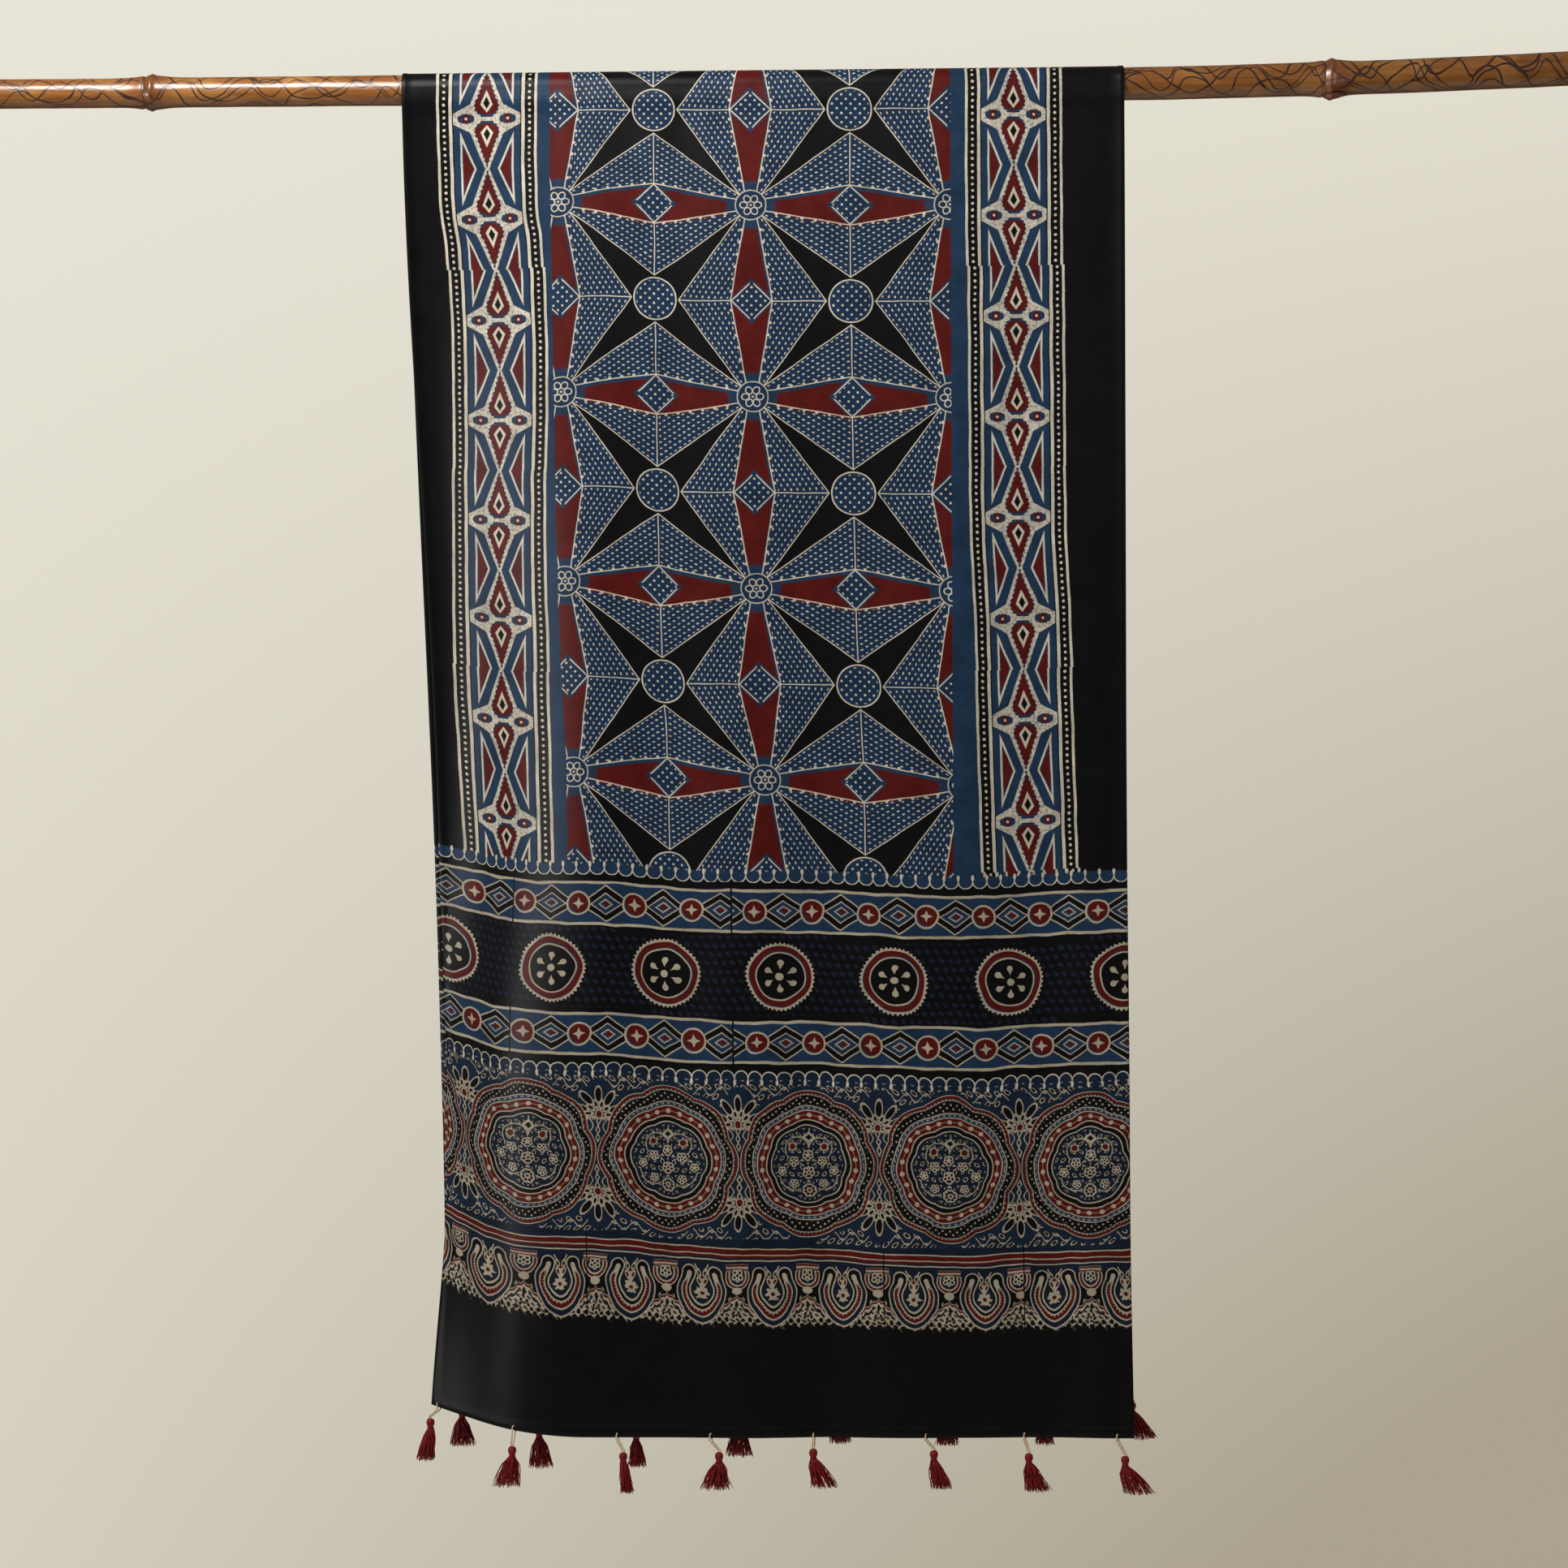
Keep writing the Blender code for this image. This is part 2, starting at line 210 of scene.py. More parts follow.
class Val:
    """A number that a shader works out for itself, with ordinary arithmetic."""

    tree = None

    def __init__(self, socket):
        self.socket = socket

    def __add__(self, other):
        return calc("ADD", self, other)

    def __sub__(self, other):
        return calc("SUBTRACT", self, other)

    def __rsub__(self, other):
        return calc("SUBTRACT", other, self)

    def __mul__(self, other):
        return calc("MULTIPLY", self, other)

    def __neg__(self):
        return calc("MULTIPLY", self, -1.0)

    def __abs__(self):
        return calc("ABSOLUTE", self)

    __radd__ = __add__
    __rmul__ = __mul__


def calc(operation, *values, clamp=False):
    node = Val.tree.nodes.new("ShaderNodeMath")
    node.operation = operation
    node.use_clamp = clamp
    for slot, value in zip(node.inputs, values):
        plug(slot, value)
    return Val(node.outputs[0])


def plug(slot, value):
    if isinstance(value, Val):
        Val.tree.links.new(value.socket, slot)
    else:
        slot.default_value = value


def least(first, *rest):
    for value in rest:
        first = calc("MINIMUM", first, value)
    return first


def most(first, *rest):
    for value in rest:
        first = calc("MAXIMUM", first, value)
    return first


def fold(value, pitch):
    """The distance to the nearest multiple of pitch."""
    return calc("PINGPONG", value, pitch / 2)


def wrap(value, pitch):
    """The signed distance from the nearest multiple of pitch."""
    return calc("WRAP", value, pitch / 2, -pitch / 2)


def scaled(value, factor, shift):
    return calc("MULTIPLY_ADD", value, factor, shift)


def clamped(value, factor, shift):
    return calc("MULTIPLY_ADD", value, factor, shift, clamp=True)


def sine(value):
    return calc("SINE", value)


def cosine(value):
    return calc("COSINE", value)


def bearing(aside, ahead):
    return calc("ARCTAN2", aside, ahead)


def reach(a, b):
    return calc("SQRT", calc("MULTIPLY_ADD", a, a, b * b))


def inside(distance, soft=0.35):
    """1 where the distance is below 0, with an edge that is soft over that many millimetres."""
    return clamped(distance, -1 / soft, 0.5)


def stroke(distance, half, soft=0.35):
    return inside(abs(distance) - half, soft)


def flip(mask):
    return calc("SUBTRACT", 1.0, mask, clamp=True)


def between(value, low, high, soft=0.35):
    return stroke(value - (low + high) / 2, (high - low) / 2, soft)


def new_node(kind, **inputs):
    node = Val.tree.nodes.new(kind)
    for name, value in inputs.items():
        plug(node.inputs[name], value)
    return node


def vector_of(x, y, z=0.0):
    return Val(new_node("ShaderNodeCombineXYZ", X=x, Y=y, Z=z).outputs[0])


def noise_of(vector, scale, detail=2.0, rough=0.5, dimensions="3D"):
    node = Val.tree.nodes.new("ShaderNodeTexNoise")
    node.noise_dimensions = dimensions
    plug(node.inputs["Vector"], vector)
    node.inputs["Scale"].default_value = scale
    node.inputs["Detail"].default_value = detail
    node.inputs["Roughness"].default_value = rough
    return node


def noise_value(*place, **settings):
    return Val(noise_of(*place, **settings).outputs["Fac"])


def axes_of(vector):
    split = Val.tree.nodes.new("ShaderNodeSeparateXYZ")
    plug(split.inputs[0], vector)
    return [Val(split.outputs[axis]) for axis in "XYZ"]


def over(colour, ink, mask):
    """Ink laid on a colour where the mask is 1."""
    node = Val.tree.nodes.new("ShaderNodeMix")
    node.data_type = "RGBA"
    plug(node.inputs[0], mask)
    for slot, value in ((node.inputs[6], colour), (node.inputs[7], ink)):
        if isinstance(value, Val):
            Val.tree.links.new(value.socket, slot)
        else:
            slot.default_value = (*value, 1.0)
    return Val(node.outputs[2])


def srgb(red, green, blue):
    return tuple((v / 255 / 12.92) if v <= 10.3 else ((v / 255 + 0.055) / 1.055) ** 2.4 for v in (red, green, blue))


def new_material(name, roughness):
    material = bpy.data.materials.new(name)
    material.use_nodes = True
    Val.tree = material.node_tree
    shader = Val.tree.nodes["Principled BSDF"]
    shader.inputs["Roughness"].default_value = roughness
    return material, shader


def bump_into(shader, height, strength, distance):
    node = Val.tree.nodes.new("ShaderNodeBump")
    node.inputs["Strength"].default_value = strength
    node.inputs["Distance"].default_value = distance
    plug(node.inputs["Height"], height)
    Val.tree.links.new(node.outputs[0], shader.inputs["Normal"])


def object_place():
    place = Val.tree.nodes.new("ShaderNodeTexCoord")
    return Val(place.outputs["Object"])


# ---------------------------------------------------------------- the print

BLACK = srgb(9, 8, 10)
NIGHT = srgb(17, 22, 32)
INDIGO = srgb(27, 49, 73)
MIDNIGHT = srgb(23, 44, 69)
DEEP = srgb(16, 27, 42)
SAND = srgb(162, 152, 134)
RED = srgb(78, 17, 14)
CREAM = srgb(186, 178, 162)
DIM = srgb(22, 34, 52)
Border = namedtuple("Border", "middle start repeat drift spread")
# Millimetres. Drift and spread are profiles from 0 at the top of the field to 1 at its foot: drift 0.25
# is no shift, and a spread of 1 prints the border about two fifths wider.
BORDERS = (
    Border(
        -215.3,
        -7.4,
        79.3,
        (
            (0.0, 0.35), (0.15, 0.36), (0.2, 0.52), (0.31, 0.58), (0.41, 0.50), (0.5, 0.36), (0.7, 0.22),
            (0.83, 0.28), (1.0, 0.46),
        ),
        ((0.0, 0.13), (0.2, 0.11), (0.3, 0.17), (0.4, 0.26), (0.5, 0.33), (0.6, 0.44), (0.72, 0.60), (1.0, 0.58)),
    ),
    Border(
        195.5,
        16.1,
        77.5,
        ((0.0, 0.21), (0.46, 0.27), (0.54, 0.3), (0.64, 0.45), (0.78, 0.58), (1.0, 0.76)),
        ((0.0, 0.0), (1.0, 0.02)),
    ),
)
BORDER_REACH = 37.7
FIELD = (-167.3, 145.0)
FIELD_TOP = 1050.0
FIELD_LENGTH = 640.0
FIELD_DRIFT = ((0.0, 0.72), (0.3, 0.66), (0.6, 0.5), (0.72, 0.34), (0.86, 0.06), (1.0, 0.03))  # 0.5 is no shift
STAR_PITCH = 154.1
STAR_ROW_PITCH = 148.4
STAR_HALF = STAR_PITCH / 2
STAR_AXIS = -7.0
STAR_ROW = 509.5
CHAIN_PITCH = 44.3
CHAIN_JOINTS = (-205.0, -28.0)
ROSETTE_PITCH = 89.2
MEDALLION_PITCH = 109.4
BOTEH_PITCH = 55.0
SCALLOP_PITCH = 11.0


class Print:
    """Shared inputs of one printed band: coordinates with the slight wander of hand-placed blocks."""

    def __init__(self, name, wander=0.55):
        self.material, self.shader = new_material(name, 0.5)
        self.shader.inputs["Specular IOR Level"].default_value = 0.16
        self.shader.inputs["Anisotropic"].default_value = 0.25
        uv = Val.tree.nodes.new("ShaderNodeUVMap")
        uv.uv_map = "Print"
        metres_p, metres_q, _ = axes_of(Val(uv.outputs[0]))
        self.raw_p = metres_p * 1000.0
        self.raw_q = metres_q * 1000.0
        self.spot = vector_of(self.raw_p, self.raw_q)
        drift = Val(noise_of(self.spot, 0.035, 1.0, dimensions="2D").outputs["Color"])
        ragged = Val(noise_of(self.spot, 0.42, 2.0, 0.6, dimensions="2D").outputs["Color"])
        slow_x, slow_y, _ = axes_of(drift)
        fast_x, fast_y, _ = axes_of(ragged)
        self.p = self.raw_p + scaled(slow_x, wander * 7, -wander * 3.5) + scaled(fast_x, 0.5, -0.25)
        self.q = self.raw_q + scaled(slow_y, wander * 7, -wander * 3.5) + scaled(fast_y, 0.5, -0.25)
        self.fast = fast_x

    def finish(self, colour):
        """Uneven dye, slubs and the weave's threads over the finished print."""
        mottle = noise_value(self.spot, 0.045, 3.0, 0.62, dimensions="2D")
        thread_p = sine(self.raw_p * (2 * math.pi / 0.62))
        thread_q = sine(self.raw_q * (2 * math.pi / 0.50))
        slub = noise_value(vector_of(self.raw_p * 0.05, self.raw_q * 1.6), 1.0, 2.0, dimensions="2D")
        weave = thread_p * thread_q
        light = scaled(mottle, 0.85, 0.57) + scaled(slub, 0.26, -0.13) + weave * 0.07
        node = Val.tree.nodes.new("ShaderNodeVectorMath")
        node.operation = "SCALE"
        plug(node.inputs[0], colour)
        plug(node.inputs["Scale"], light)
        plug(self.shader.inputs["Base Color"], Val(node.outputs[0]))
        plug(self.shader.inputs["Roughness"], scaled(slub, 0.10, 0.30) + mottle * 0.05)
        bump_into(self.shader, weave * 0.5 + slub * 0.8, 0.22, 0.00012)
        return self.material


def dots(p, q, pitch, radius, skew=0.0):
    """Round dots on a lattice; skew slides each row along the next."""
    along = p + q * skew if skew else p
    return inside(reach(wrap(along, pitch), wrap(q, pitch)) - radius, 0.5)


def down_field(band):
    return scaled(band.q, -1 / FIELD_LENGTH, FIELD_TOP / FIELD_LENGTH)


def border_colour(band, colour, border):
    """A printed border around its middle line: eyes, drops and crossing bands, with beaded black lines."""
    block = calc("FLOOR", scaled(band.q, 0.5 / border.repeat, 0.25 - border.start * 0.5 / border.repeat))
    jolt = sine(block * 2.4)
    down = down_field(band)
    side = band.p - border.middle - scaled(curve_of(down, border.drift), 20.0, -5.0) + jolt * 0.8
    t = abs(side) * scaled(curve_of(down, border.spread), -0.3, 1.0)
    v = fold(band.q - border.start, border.repeat)
    colour = over(colour, INDIGO, inside(t - BORDER_REACH))
    colour = over(colour, BLACK, between(t, 28.4, 35.6))
    colour = over(colour, BLACK, between(t, 24.9, 25.7, 0.5))
    crossing = least(
        t * 0.934 + scaled(v, 0.357, -2.0 * 0.934 - 38.5 * 0.357),
        t * 0.484 + scaled(v, 0.875, -24.7 * 0.484 - 4.4 * 0.875),
    )
    strip = inside(t - 25.0)
    ground = inside(crossing) * strip
    colour = over(colour, CREAM, ground)
    colour = over(colour, INDIGO, ground * clamped(band.fast, 5.0, -2.3) * 0.5)
    triangle = least(
        t * 0.924 + scaled(v, 0.382, -9.2 * 0.924 - 39.0 * 0.382),
        scaled(t, -1.0, 19.4),
    )
    colour = over(colour, RED, inside(scaled(triangle, -1.0, 1.5)) * inside(scaled(v, -1.0, 21.0), 3.0))
    colour = over(colour, CREAM, stroke(triangle, 0.75))
    ripple = fold(v + t * 0.35, 3.4) * 0.62
    round_part = reach(t, v - 10.3) - 8.9
    taper = most(t * 0.951 + scaled(v, 0.310, -0.6 * 0.951 - 35.4 * 0.310), 10.3 - v)
    drop = least(round_part, taper) + ripple
    colour = over(colour, INDIGO, inside(drop - 0.9) * strip)
    colour = over(colour, RED, inside(drop - 0.3 + inside(v - 5.0, 4.0) * 2.0) * strip)
    kite = t * (1 / 4.8) + most(scaled(v, -1 / 6.0, 11 / 6.0), scaled(v, 1 / 11.5, -11 / 11.5))
    colour = over(colour, CREAM, inside(kite - 1.0, 0.12))
    heart = t * (1 / 2.6) + most(scaled(v, -1 / 4.4, 12 / 4.4), scaled(v, 1 / 5.5, -12 / 5.5))
    colour = over(colour, BLACK, inside(heart - 1.0, 0.2))
    eye = reach((t - 15.6) * 0.62, v) + fold(t, 2.6) * 0.35
    colour = over(colour, INDIGO, inside(eye - 4.2))
    colour = over(colour, RED, inside(reach((t - 15.6) * 0.8, v - 1.0) - 2.2))
    colour = over(colour, CREAM, inside(reach(t - 15.6, v) - 1.05))
    bead = inside(reach(t - 32.0, wrap(band.q, 4.95)) - scaled(band.fast, 0.7, 0.75))
    cream = most(between(t, 35.7, BORDER_REACH), between(t, 25.9, 28.3), bead)
    return over(colour, CREAM, cream)


def star_field(band, colour):
    """Four-pointed stars between flowers, with red kites, dotted wedges and dotted circles."""
    drift = scaled(curve_of(down_field(band), FIELD_DRIFT), 14.0, -7.0)
    aside = clamped(band.p, -1 / 110.0, -0.35) * 5.0
    p = band.p - STAR_AXIS + drift - aside
    q = band.q - STAR_ROW
    a = fold(p, STAR_PITCH)
    b = fold(q, STAR_ROW_PITCH) * (STAR_PITCH / STAR_ROW_PITCH)
    long, short = most(a, b), least(a, b)
    kite = short * 0.985 + scaled(long, -0.171, -2.9)
    arm = short * 0.810 + scaled(long, -0.5864, -1.8)
    far = STAR_HALF - long
    lattice = dots(p * 0.707 + q * 0.707, p * 0.707 - q * 0.707, 5.0, 0.9)
    ring = reach(STAR_HALF - a, STAR_HALF - b) - 16.9
    square = (far + short) * 0.7071 - 11.1
    in_kite, in_ring, in_square = inside(kite), inside(ring), inside(square)
    colour = over(colour, MIDNIGHT, inside(-kite))
    colour = over(colour, BLACK, inside(-arm))
    red_b = fold(q + 2.4, STAR_ROW_PITCH) * (STAR_PITCH / STAR_ROW_PITCH)
    red_a = fold(p + 0.8, STAR_PITCH)
    red_kite = least(red_a, red_b) * 0.985 + scaled(most(red_a, red_b), -0.171, -2.1)
    near = reach(a, b)
    redness = inside(red_kite) * inside(19.0 - near, 3.0) * inside(kite - 2.6) * flip(inside(square - 1.8))
    colour = over(colour, RED, redness)
    colour = over(colour, MIDNIGHT, in_square)
    colour = over(colour, MIDNIGHT, in_ring)
    run = long * 0.810 + short * 0.5864
    oval = reach(wrap(run + arm * 0.5, 4.7) * 0.66, wrap(arm - 2.2, 4.1)) - scaled(band.fast, 0.5, 0.40)
    wedge = inside(1.6 - kite) * inside(arm + 1.5) * inside(1.7 - far)
    marks = inside(oval, 0.45) * wedge
    beads = inside(reach(wrap(long, 9.9), kite - 0.9) - 1.25)
    edge = most(stroke(kite, 0.45), beads) * inside(12.4 - near)
    arm_line = stroke(arm, 0.42) * inside(12.4 - near) * inside(0.4 - ring)
    rib = inside(far - 0.42) * inside(-kite) * inside(arm)
    outline = stroke(square, 0.5) * inside(1.5 - short) * in_kite
    dotted = lattice * most(in_square * inside(square + 1.2), inside(ring + 1.8))
    cream = most(marks, edge, arm_line, rib, outline, stroke(ring, 0.55), dotted)
    colour = over(colour, CREAM, cream)
    petal_turn = fold(bearing(b, a), math.pi / 3)
    petal_x = near * cosine(petal_turn) - 5.6
    petal_y = near * sine(petal_turn)
    petal = reach(petal_x * 0.86, petal_y) - 2.5
    colour = over(colour, MIDNIGHT, inside(near - 12.0))
    flower = most(stroke(petal, 0.42), inside(near - 0.9), stroke(near - 12.0, 0.45) * 0.85)
    colour = over(colour, CREAM, flower)
    colour = over(colour, INDIGO, inside(p - (FIELD[0] - STAR_AXIS)))
    return over(colour, INDIGO, inside(FIELD[1] - band.p))


def scallops(band, colour, level, rise, lower, upper):
    """A row of scallops with a drop at each cusp. rise is 1 where the arcs hang, -1 where they stand up."""
    s = wrap(band.p, SCALLOP_PITCH)
    v = (band.q - level) * rise
    arc = reach(s, v - 5.6) - 5.5
    below = between(v, -3.0, 5.6, 0.2)
    colour = over(colour, lower, inside(-arc) * below)
    if upper:
        colour = over(colour, upper, inside(arc) * between(v, -1.0, 9.0, 1.0))
    cusp = fold(band.p - SCALLOP_PITCH / 2, SCALLOP_PITCH)
    drop = reach(cusp * 1.9, (v - 8.3) * 0.9) - 2.1
    return over(colour, CREAM, most(stroke(arc, 0.42) * inside(v - 6.4), inside(drop)))


def plain_margins(band, colour):
    """The black strips along both side edges."""
    left, right = BORDERS
    colour = over(colour, BLACK, inside(band.p - (left.middle - BORDER_REACH + 8.0)))
    return over(colour, BLACK, inside((right.middle + BORDER_REACH - 1.5) - band.p))


def field_material():
    band = Print("print_field", 0.16)
    colour = plain_margins(band, star_field(band, INDIGO))
    for border in BORDERS:
        colour = border_colour(band, colour, border)
    colour = scallops(band, colour, 430.0, 1.0, BLACK, INDIGO)
    colour = over(colour, BLACK, inside(band.q - 430.0))
    return band.finish(rail(band, colour, 422.5))


def eased(band):
    """Across the cloth, with the print spread towards the left edge where the cloth turns away."""
    return band.p + clamped(band.raw_p, -1 / 75.0, -2.5) * 15.0


def chain_material(name, level, offset):
    """A narrow band of ringed stars and nested diamonds between cream rails."""
    band = Print(name, 0.5)
    v = band.q - level
    p = eased(band) + scaled(inside(band.raw_p - CHAIN_JOINTS[1]), 5.5, 4.5)
    s = wrap(p - offset, CHAIN_PITCH)
    x = abs(s)
    high = abs(v)
    nest = x * 0.66 + high
    across = wrap(p - offset - CHAIN_PITCH / 2, CHAIN_PITCH)
    ring = reach(across, v) - 8.7
    colour = over(INDIGO, MIDNIGHT, 0.3)
    colour = over(colour, BLACK, between(nest, 8.6, 13.2))
    colour = over(colour, SAND, most(stroke(nest - 8.1, 0.5), stroke(nest - 13.7, 0.6)))
    colour = over(colour, INDIGO, inside(ring))
    colour = over(colour, RED, inside(reach(across - 1.1, v - 0.9) - 8.1))
    shifted = abs(s - 1.2) * 0.66 + abs(v - 0.6)
    colour = over(colour, RED, inside(shifted - 2.2))
    colour = over(colour, SAND, stroke(nest - 3.6, 0.55))
    side = abs(across)
    star = side + high + least(side, high) * 1.5 - 4.9
    colour = over(colour, SAND, most(stroke(ring, 0.75), inside(star)))
    colour = over(colour, SAND, between(high, 14.8, 17.0))
    colour = over(colour, BLACK, inside(17.0 - high))
    for joint in CHAIN_JOINTS:
        colour = over(colour, BLACK, stroke(band.raw_p - joint, 0.7))
    return band.finish(colour)


def rosette_material():
    """Toothed rosettes on black, with faint blue spots."""
    band = Print("print_rosettes", 0.6)
    v = band.q - 357.0
    s = wrap(eased(band) - 9.3, ROSETTE_PITCH)
    spot = dots(band.p, v + 3.4, 6.9, 1.9, 0.5)
    colour = over(BLACK, DIM, spot * 0.75)
    turn = bearing(v, s)
    radius = reach(s, v)
    teeth = sine(turn * 46.0) * 0.75
    edge = radius - 26.0 + teeth
    colour = over(colour, BLACK, inside(edge - 1.0))
    colour = over(colour, SAND, inside(edge))
    colour = over(colour, INDIGO, inside(radius - 24.0))
    off_ring = reach(s - 0.5, v - 0.4)
    colour = over(colour, RED, inside(off_ring - 23.8) * inside(radius - 24.0))
    colour = over(colour, INDIGO, inside(off_ring - 19.8))
    colour = over(colour, SAND, inside(radius - 19.3))
    colour = over(colour, BLACK, inside(radius - 18.2))
    petal_turn = fold(turn - math.pi / 2, math.pi / 3)
    along = radius * cosine(petal_turn)
    aside = radius * sine(petal_turn)
    petal = reach(along - 10.7, aside) - 2.4
    stalk = most(aside - scaled(along, 0.42, -2.35), along - 10.7)
    petals = inside(least(petal, stalk))
    colour = over(colour, SAND, most(petals, inside(radius - 2.9)))
    colour = rail(band, colour, 390.7)
    return band.finish(rail(band, colour, 320.6))


def rail(band, colour, low):
    """A cream rail of a chain band, drawn by the band beside it too."""
    return over(colour, SAND, between(band.q, low + 0.2, low + 2.4))


def curve_of(value, points):
    """A given profile: value from 0 to 1, looked up on a smooth curve."""
    node = Val.tree.nodes.new("ShaderNodeFloatCurve")
    curve = node.mapping.curves[0]
    curve.points[0].location = points[0]
    curve.points[1].location = points[-1]
    for x, y in points[1:-1]:
        curve.points.new(x, y)
    node.mapping.update()
    plug(node.inputs["Value"], value)
    return Val(node.outputs[0])


def blossom(colour, x, y, size, petals, heart=RED, turn=0.0):
    """A small flower: cream-edged petals with dark middles around a coloured heart."""
    angle = fold(bearing(y, x) + turn, 2 * math.pi / petals)
    radius = reach(x, y)
    along = radius * cosine(angle) - size * 0.58
    petal = reach(along, radius * sine(angle)) - size * 0.36
    colour = over(colour, SAND, inside(petal - 0.35))
    colour = over(colour, BLACK, inside(petal + size * 0.15))
    return over(colour, heart, inside(radius - size * 0.2))


def leaves(x, y, pitch, size, lean):
    """A close scatter of small leaves: masks of their bodies and their dark middles."""
    row = calc("FLOOR", scaled(y, 1 / pitch, 0.5))
    odd = sine(row * 2.6)
    along = wrap(x + odd * pitch * 0.6, pitch)
    down = wrap(y, pitch)
    slid = along + down * (odd * lean)
    body = reach(slid * 1.3, down) + calc("MAXIMUM", down, 0.0) * 0.4 - size
    return inside(body), inside(body + size * 0.32)


def medallion_material():
    """Eight-lobed medallions with a ring of beads and a mirrored flowering tree, palmettes between them."""
    band = Print("print_medallions", 0.6)
    s = wrap(eased(band) - 30.4, MEDALLION_PITCH)
    v = band.q - 212.4
    x = abs(s)
    high = abs(v)
    turn = bearing(x, high)
    radius = reach(x, v)
    lobe = abs(cosine(turn * 4.0))
    lift = cosine(turn)
    edge = scaled(lobe, 3.4, 50.2) + lift * lift * 2.8 - radius
    d = radius - scaled(lobe, 1.7, 28.2)
    gap = MEDALLION_PITCH / 2 - x
    colour = over(DEEP, INDIGO, 0.25)
    # a leafy vine fills the ground above and below
    leaf, vein = leaves(s + 2.0, v, 7.4, 2.7, 0.9)
    off_palmette = flip(inside(reach(gap * 1.15, high - 44.0) - 15.5))
    ground = inside(edge + 4.4) * inside(high - 64.5) * off_palmette * inside(26.0 - high)
    colour = over(colour, SAND, leaf * ground)
    colour = over(colour, BLACK, vein * ground)
    runner = stroke(high - 55.5 + sine(s * 0.42) * 3.2, 0.5) * inside(edge + 3.0) * inside(8.0 - gap)
    colour = over(colour, SAND, runner)
    # palmettes on beaded stems between the medallions
    fan_y = high - 30.5
    fan_r = reach(gap, fan_y)
    fan_turn = fold(bearing(gap, fan_y), 0.62)
    leaf = reach((fan_r * cosine(fan_turn) - 15.5) * 0.42, fan_r * sine(fan_turn)) - 3.2
    upper = inside(scaled(fan_y, -1.0, -4.0), 2.0)
    colour = over(colour, SAND, inside(leaf) * upper)
    colour = over(colour, BLACK, inside(leaf + 0.75) * upper)
    fan_turn = fold(bearing(gap, fan_y) + 0.31, 0.62)
    leaf = reach((fan_r * cosine(fan_turn) - 8.0) * 0.5, fan_r * sine(fan_turn)) - 2.0
    colour = over(colour, SAND, inside(leaf) * upper)
    colour = over(colour, BLACK, inside(leaf + 0.9) * upper)
    colour = over(colour, SAND, inside(reach(gap, fan_y * 0.8) - 3.2))
    colour = over(colour, RED, inside(reach(gap, fan_y * 0.8) - 2.3))
    stem = gap + fold(high, 6.4) * 0.5 - 2.0
    stem_part = between(high, 9.0, 28.0)
    colour = over(colour, SAND, inside(stem) * stem_part)
    colour = over(colour, BLACK, inside(stem + 0.9) * stem_part)
    barb = abs(gap - 5.4 - sine(high * 0.5) * 1.5)
    colour = over(colour, SAND, inside(barb - 0.4) * between(high, 13.0, 27.0))
    # rings of the medallion
    colour = over(colour, SAND, stroke(edge + 0.3, 0.32))
    colour = over(colour, RED, stroke(edge - 1.1, 1.0))
    tooth = fold(turn * radius, 2.9) - 0.4
    colour = over(colour, SAND, most(inside(tooth, 0.5) * stroke(edge - 2.4, 0.4), stroke(edge - 3.1, 0.25)))
    colour = over(colour, BLACK, inside(3.7 - edge))
    speck = dots(band.p * 0.8 + band.q * 0.6, band.q * 0.8 - band.p * 0.6, 3.7, 0.7)
    colour = over(colour, SAND, speck * inside(4.6 - edge) * inside(15.8 - d))
    colour = over(colour, SAND, inside(d - 14.9))
    colour = over(colour, INDIGO, inside(d - 14.1))
    blocks = inside(fold(turn * radius, 4.4) - 1.0) * stroke(d - 13.0, 0.55)
    colour = over(colour, SAND, blocks * 0.7)
    colour = over(colour, SAND, inside(d - 11.4))
    colour = over(colour, RED, inside(d - 10.6))
    bead_turn = wrap(turn, math.pi / 13) * 34.5
    bead = reach(bead_turn, d - 7.4)
    colour = over(colour, SAND, most(inside(bead - 1.7), stroke(d - 7.4, 0.25) * 0.6))
    colour = over(colour, SAND, inside(d - 4.2))
    colour = over(colour, BLACK, inside(d - 3.3))
    colour = over(colour, SAND, inside(d - 0.2))
    colour = over(colour, DEEP, inside(d + 0.7))
    # the mirrored tree
    core = inside(d + 2.6)
    tree = colour
    leaf, vein = leaves(x + 1.2, v + 1.5, 5.9, 2.1, 1.0)
    tree = over(tree, SAND, leaf * core * inside(3.0 - x))
    tree = over(tree, BLACK, vein * core * inside(3.0 - x))
    branches = most(
        stroke(reach(x - 11.0, v + 9.0) - 11.0, 0.35),
        stroke(reach(x - 9.0, v - 11.0) - 9.0, 0.35),
        inside(x - 0.35),
    )
    tree = over(tree, SAND, branches * core)
    for across, up, size, petals, heart in (
        (0.0, -20.0, 5.4, 8, RED), (0.0, -6.0, 5.0, 6, RED), (0.0, 7.0, 4.2, 6, SAND),
        (11.0, 2.0, 4.0, 5, RED), (20.0, -5.0, 3.6, 5, SAND), (11.0, -15.0, 3.6, 5, RED),
    ):
        tree = over(tree, DEEP, inside(reach(x - across, v - up) - size - 0.9))
        tree = blossom(tree, x - across, v - up, size, petals, heart, 0.3)
    heart = reach(x - 12.0, v - 13.0)
    tree = over(tree, SAND, inside(heart - 3.2))
    tree = over(tree, RED, inside(heart - 2.4))
    tree = over(tree, SAND, inside(x * 0.9 + abs(v - 20.0) - 4.6))
    tree = over(tree, BLACK, inside(x * 0.9 + abs(v - 20.0) - 2.4))
    tree = scallops(band, tree, 283.4, -1.0, BLACK, None)
    tree = over(tree, BLACK, inside(284.2 - band.q))
    return band.finish(rail(band, tree, 288.8))


